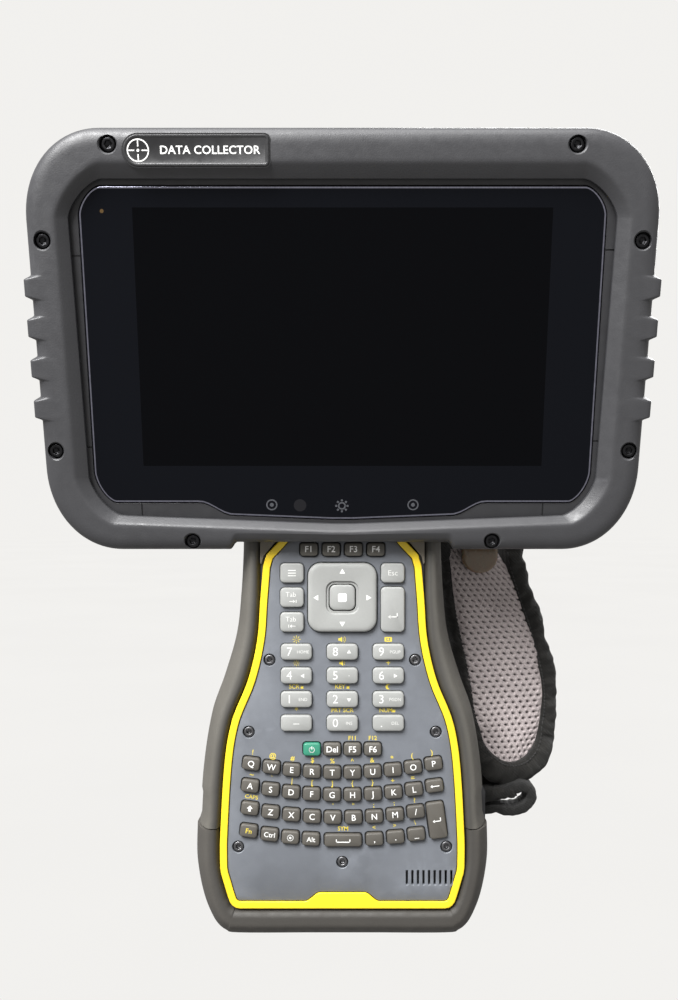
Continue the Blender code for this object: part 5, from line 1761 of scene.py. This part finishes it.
def make_port_cover_details():
    bm = bmesh.new()
    add_bars(bm, 5, 3.0, 9.0, 1.3, -0.5, 2.0, -PORT_COVER_BACK - 0.3, -PORT_COVER_BACK + 0.45)
    add_pad(bm, 2.6, 9.0, 1.0, 7.0, 2.0, -PORT_COVER_BACK - 0.3, -PORT_COVER_BACK + 0.9, (0.8, 0.7))
    add_piece("port_cover_ridges", bm, HEAD_BACK, "port_rubber", body="port_cover")


def make_ports():
    """A flat data socket and a round power socket under the port cover, their rims a little proud, and flat
    black plates of painted shade in their mouths.
    """
    level = -HOUSING_BACK
    low, high = level - 0.3, level + 0.2
    bm = bmesh.new()
    shell = rounded_box(10.0, 4.3, 2.1, *DATA_SOCKET_AT, steps=8)
    mouth = rounded_box(9.0, 3.3, 1.6, *DATA_SOCKET_AT, steps=8)
    add_loft(bm, levels((shell, low), (shell, high), (mouth, high), (mouth, low)), closed=True)
    add_ring(bm, *POWER_SOCKET_AT, 4.2, 3.4, low, high, 40)
    add_plate(bm, circle(*POWER_SOCKET_AT, 0.9, 24), level - 0.2, level + 0.1)
    add_piece("port_shells", bm, HEAD_BACK, "mount_metal", "black_plastic")
    # The mouths are flat black plates, painted shade for the sockets' depth.
    mouths = (mouth, circle(*POWER_SOCKET_AT, 3.4, 40))
    add_marks("port_mouths", mouths, low, level + 0.03, HEAD_BACK, "socket_shade_black", "black_plastic")


def make_rear_camera():
    """The camera's window and its lamp, between the batteries."""
    x, y = CAMERA_AT[0], -CAMERA_AT[1]
    lens, lamp = (x, y - 3.5), (x, y + 6.5)
    level = -HOUSING_BACK
    bm = bmesh.new()
    outline = rounded_box(17, 27, 5, x, y, steps=8)
    loops = levels((outline, level - 0.5), (outline, level + 2.2),
                   (rounded_box(13.6, 23.6, 3.6, x, y, steps=8), level + 2.2),
                   (rounded_box(13.2, 23.2, 3.4, x, y, steps=8), level + 1.4))
    add_loft(bm, filleted(loops, (0, 0.9, 0.3, 0), 4))
    add_piece("camera_surround", bm, HEAD_BACK, "black_plastic")
    bm = bmesh.new()
    add_ring(bm, *lens, 4.6, 3.7, level + 1.3, level + 2.0, 40)
    add_ring(bm, *lamp, 2.4, 2.0, level + 1.3, level + 1.8, 32)
    add_piece("camera_rings", bm, HEAD_BACK, "screw_steel", "black_plastic")
    bm = bmesh.new()
    rim = circle(*lens, 3.7, 40)
    loops = levels((rim, level + 1.3), (rim, level + 1.5), (circle(*lens, 0.6, 40), level + 1.95))
    add_loft(bm, filleted(loops, (0, 0.2, 0.5), 3))
    add_piece("camera_lens", bm, HEAD_BACK, "lens", "cover_glass")
    add_marks("camera_lamp", [circle(*lamp, 2.0, 32)], level + 1.3, level + 1.6, HEAD_BACK, "mark_grey",
              "cover_glass")


def make_back_screws():
    """The screws of the head's back, the handle shell and the mount plate, each with its own head size."""
    mount_places = [(x, MOUNT_HEIGHT + y) for x, y in MOUNT_SCREWS]
    rows = (("housing", DISPLAY, HOUSING_BACK, 29, (2.6, 1.4, 1.1, 1.4), BACK_SCREWS),
            ("shell", KEYPAD, SHELL_BACK, 41, (2.4, 1.3, 0.7, 1.2), SHELL_SCREWS),
            ("mount", KEYPAD, -BODY_DEPTH, 17, (2.6, 1.4, -0.25, 1.4), mount_places))
    for name, face, level, turn, head, places in rows:
        add_screws(f"{name}_screw", [facing_back(face, x, y, level) for x, y in places], turn, head)


def shell_outline():
    """The handle shell's side, just inside the bumpers."""
    heights = [NECK_TOP + (TRIM_SIDE_FOOT - NECK_TOP) * i / 44 for i in range(45)]
    side = [(max(smooth_value(TRIM_LINE, min(height, TRIM_TOP)), BUMPER_INNER_LEAST + 0.8), height)
            for height in heights]
    return inset(mirrored(side + list(TRIM_FOOT)), -0.2)


def make_handle_shell():
    """The handle's rear shell, with grip ribs, open to the front."""
    def level(by, z):
        """The outline drawn in at its sides and foot, its neck following the head's underside."""
        rise = max(0, SHELL_FRONT - z) * NECK_RISE
        loop = []
        for x, y in shell_outline():
            draw = by * (1 - smooth_step(12, 45, y))
            loop.append((x * (1 - by / 46), y + draw + rise * smooth_step(146, NECK_TOP, y), z))
        return loop

    loops = [level(SHELL_WALL, SHELL_FLOOR), level(SHELL_WALL, SHELL_FRONT), level(0, SHELL_FRONT),
             level(0, -22.0), level(1.6, -28.2), level(6.5, SHELL_BACK), level(9.0, SHELL_BACK)]
    bm = loft(filleted(loops, (0, 0, 0.2, 3.0, 3.0, 1.5, 0), 4))
    back = Matrix.Rotation(math.pi, 4, "X")
    ribs = bmesh.new()
    add_bars(ribs, GRIP_RIBS, GRIP_PITCH, 50.0, 2.4, 0, -62.0, -SHELL_BACK - 0.4, -SHELL_BACK + 0.8)
    ribs.transform(back)
    add_bm(bm, ribs)
    add_piece("handle_back", bm, KEYPAD, "black_plastic", replaces=["handle_shell"])


def make_mount_plate():
    """The metal plate that a pole bracket grips, with a threaded socket and four sunk screws."""
    width, height = MOUNT_SIZE
    place = facing_back(KEYPAD, 0, MOUNT_HEIGHT, -BODY_DEPTH)
    outline = rounded_box(width, height, 5.0, steps=10)
    loops = levels((outline, GAP - SHELL_BACK - BODY_DEPTH), (outline, 0.0),
                   (rounded_box(width - 2, height - 2, 4.0, steps=10), 0.0))
    bm = loft(filleted(loops, (0, 0.6, 0), 4))
    plate = add_piece("mount_face", bm, place, "mount_metal", replaces=["mount_plate"])
    cutter = bmesh.new()
    for x, y in MOUNT_SCREWS:
        add_recess(cutter, x, -y, 2.9, 0.0, -1.9)
    add_recess(cutter, 0, 0, 3.2, 0.0, -3.0)
    cut(plate, cutter, place)
    bm = bmesh.new()
    for i in range(4):
        add_ring(bm, 0, 0, 3.3, 2.7, -2.7 + i * 0.6, -2.4 + i * 0.6, 36)
    add_piece("mount_thread", bm, place, "screw_steel", "mount_metal")


def make_back():
    make_batteries()
    make_latch_details()
    make_port_cover_details()
    make_ports()
    make_rear_camera()
    make_back_screws()
    make_handle_shell()
    make_mount_plate()


# ---------------------------------------------------------------- carried-over CAD nodes

def dress_cad_nodes():
    """Materials and soft edges for the CAD solids that stay."""
    slots = {
        "lcd_panel": "lcd", "main_board": "circuit_board", "keypad_board": "circuit_board",
        "speaker": "black_plastic", "strap_bottom_anchor": "black_plastic",
        "battery_latch_left": "guard_plastic", "battery_latch_right": "guard_plastic",
        "port_cover": "port_rubber",
    }
    for name, material in slots.items():
        node = nodes[name]
        node.data.materials.clear()
        node.data.materials.append(MATERIALS[material])
        bevel = node.modifiers.new("soft_edges", "BEVEL")
        bevel.width = 0.6 * MM
        bevel.segments = 3
        bevel.limit_method = "ANGLE"
        bevel.angle_limit = math.radians(28)


# ---------------------------------------------------------------- stage

FLOOR_HEIGHT = -0.45
BACKDROP_COLOUR = (0.885, 0.875, 0.855)
WORLD_COLOUR = (1.0, 0.985, 0.97)
WORLD_STRENGTH = 0.46
OVERHEAD_POWER = 4.5
OVERHEAD_SOFTNESS = 60.0
OVERHEAD_FROM = (-0.3, -0.5, 1.4)
LIGHTS = {
    "key": ((-0.5, -0.78, 0.80), (0.6, 0.6), 32.0),
    "rear": ((0.55, 1.0, 0.75), (0.8, 0.8), 22.0),
}


def make_stage():
    bm = bmesh.new()
    bmesh.ops.create_circle(bm, cap_ends=True, radius=14.0, segments=96)
    floor = link_object("floor", as_mesh(bm, "floor"))
    floor.location = (0, 0, FLOOR_HEIGHT)
    floor.visible_diffuse = False
    floor.visible_glossy = False
    m = Nodes("floor", (0.0, 0.0, 0.0), 0.95, specular=0.0)
    m.link(m.tone(m.noise(600.0), shade(BACKDROP_COLOUR, 0.99), shade(BACKDROP_COLOUR, 1.01)),
           m.shader.inputs["Emission Color"])
    m.shader.inputs["Emission Strength"].default_value = 1.0
    floor.data.materials.append(m.material)

    world = bpy.data.worlds.new("studio")
    world.use_nodes = True
    tree = world.node_tree
    light = tree.nodes["Background"]
    light.inputs["Color"].default_value = (*WORLD_COLOUR, 1)
    light.inputs["Strength"].default_value = WORLD_STRENGTH
    seen = tree.nodes.new("ShaderNodeBackground")
    seen.inputs["Color"].default_value = (*BACKDROP_COLOUR, 1)
    path = tree.nodes.new("ShaderNodeLightPath")
    mix = tree.nodes.new("ShaderNodeMixShader")
    tree.links.new(path.outputs["Is Camera Ray"], mix.inputs["Fac"])
    tree.links.new(light.outputs["Background"], mix.inputs[1])
    tree.links.new(seen.outputs["Background"], mix.inputs[2])
    tree.links.new(mix.outputs["Shader"], tree.nodes["World Output"].inputs["Surface"])
    bpy.context.scene.world = world

    for name, (at, size, power) in LIGHTS.items():
        data = bpy.data.lights.new(name, "AREA")
        data.shape = "RECTANGLE"
        data.size, data.size_y = size
        data.energy = power
        add_light(name, data, at)
    data = bpy.data.lights.new("overhead", "SUN")
    data.energy = OVERHEAD_POWER
    data.angle = math.radians(OVERHEAD_SOFTNESS)
    add_light("overhead", data, OVERHEAD_FROM)


def add_light(name, data, at):
    light = link_object(name, data)
    light.location = at
    aim = Vector((0, 0, 0.03)) - Vector(at)
    light.rotation_euler = aim.to_track_quat("-Z", "Y").to_euler()


CAMERA_STAND = (-1.3, -426.5, 30.3)


def make_camera():
    data = bpy.data.cameras.new("camera")
    data.lens = 36.0
    data.sensor_width = 36.0
    camera = link_object("camera", data)
    camera.location = [distance * MM for distance in CAMERA_STAND]
    camera.rotation_euler = (math.radians(90), 0, 0)
    data.clip_start = 0.01
    bpy.context.scene.camera = camera
    bpy.context.scene.view_settings.view_transform = "Standard"


def main():
    make_materials()
    make_camera()
    make_stage()
    make_front_guard()
    make_rear_guard()
    make_guard_screws()
    make_display_housing()
    make_display_glass()
    make_glass_marks()
    make_plaque()
    make_trim()
    make_keypad_panel()
    make_panel_print()
    make_moving_keys()
    make_direction_pad()
    make_letter_keypad()
    make_side_bumpers()
    make_lower_bumper()
    make_fillers()
    make_strap()
    make_back()
    dress_cad_nodes()


main()
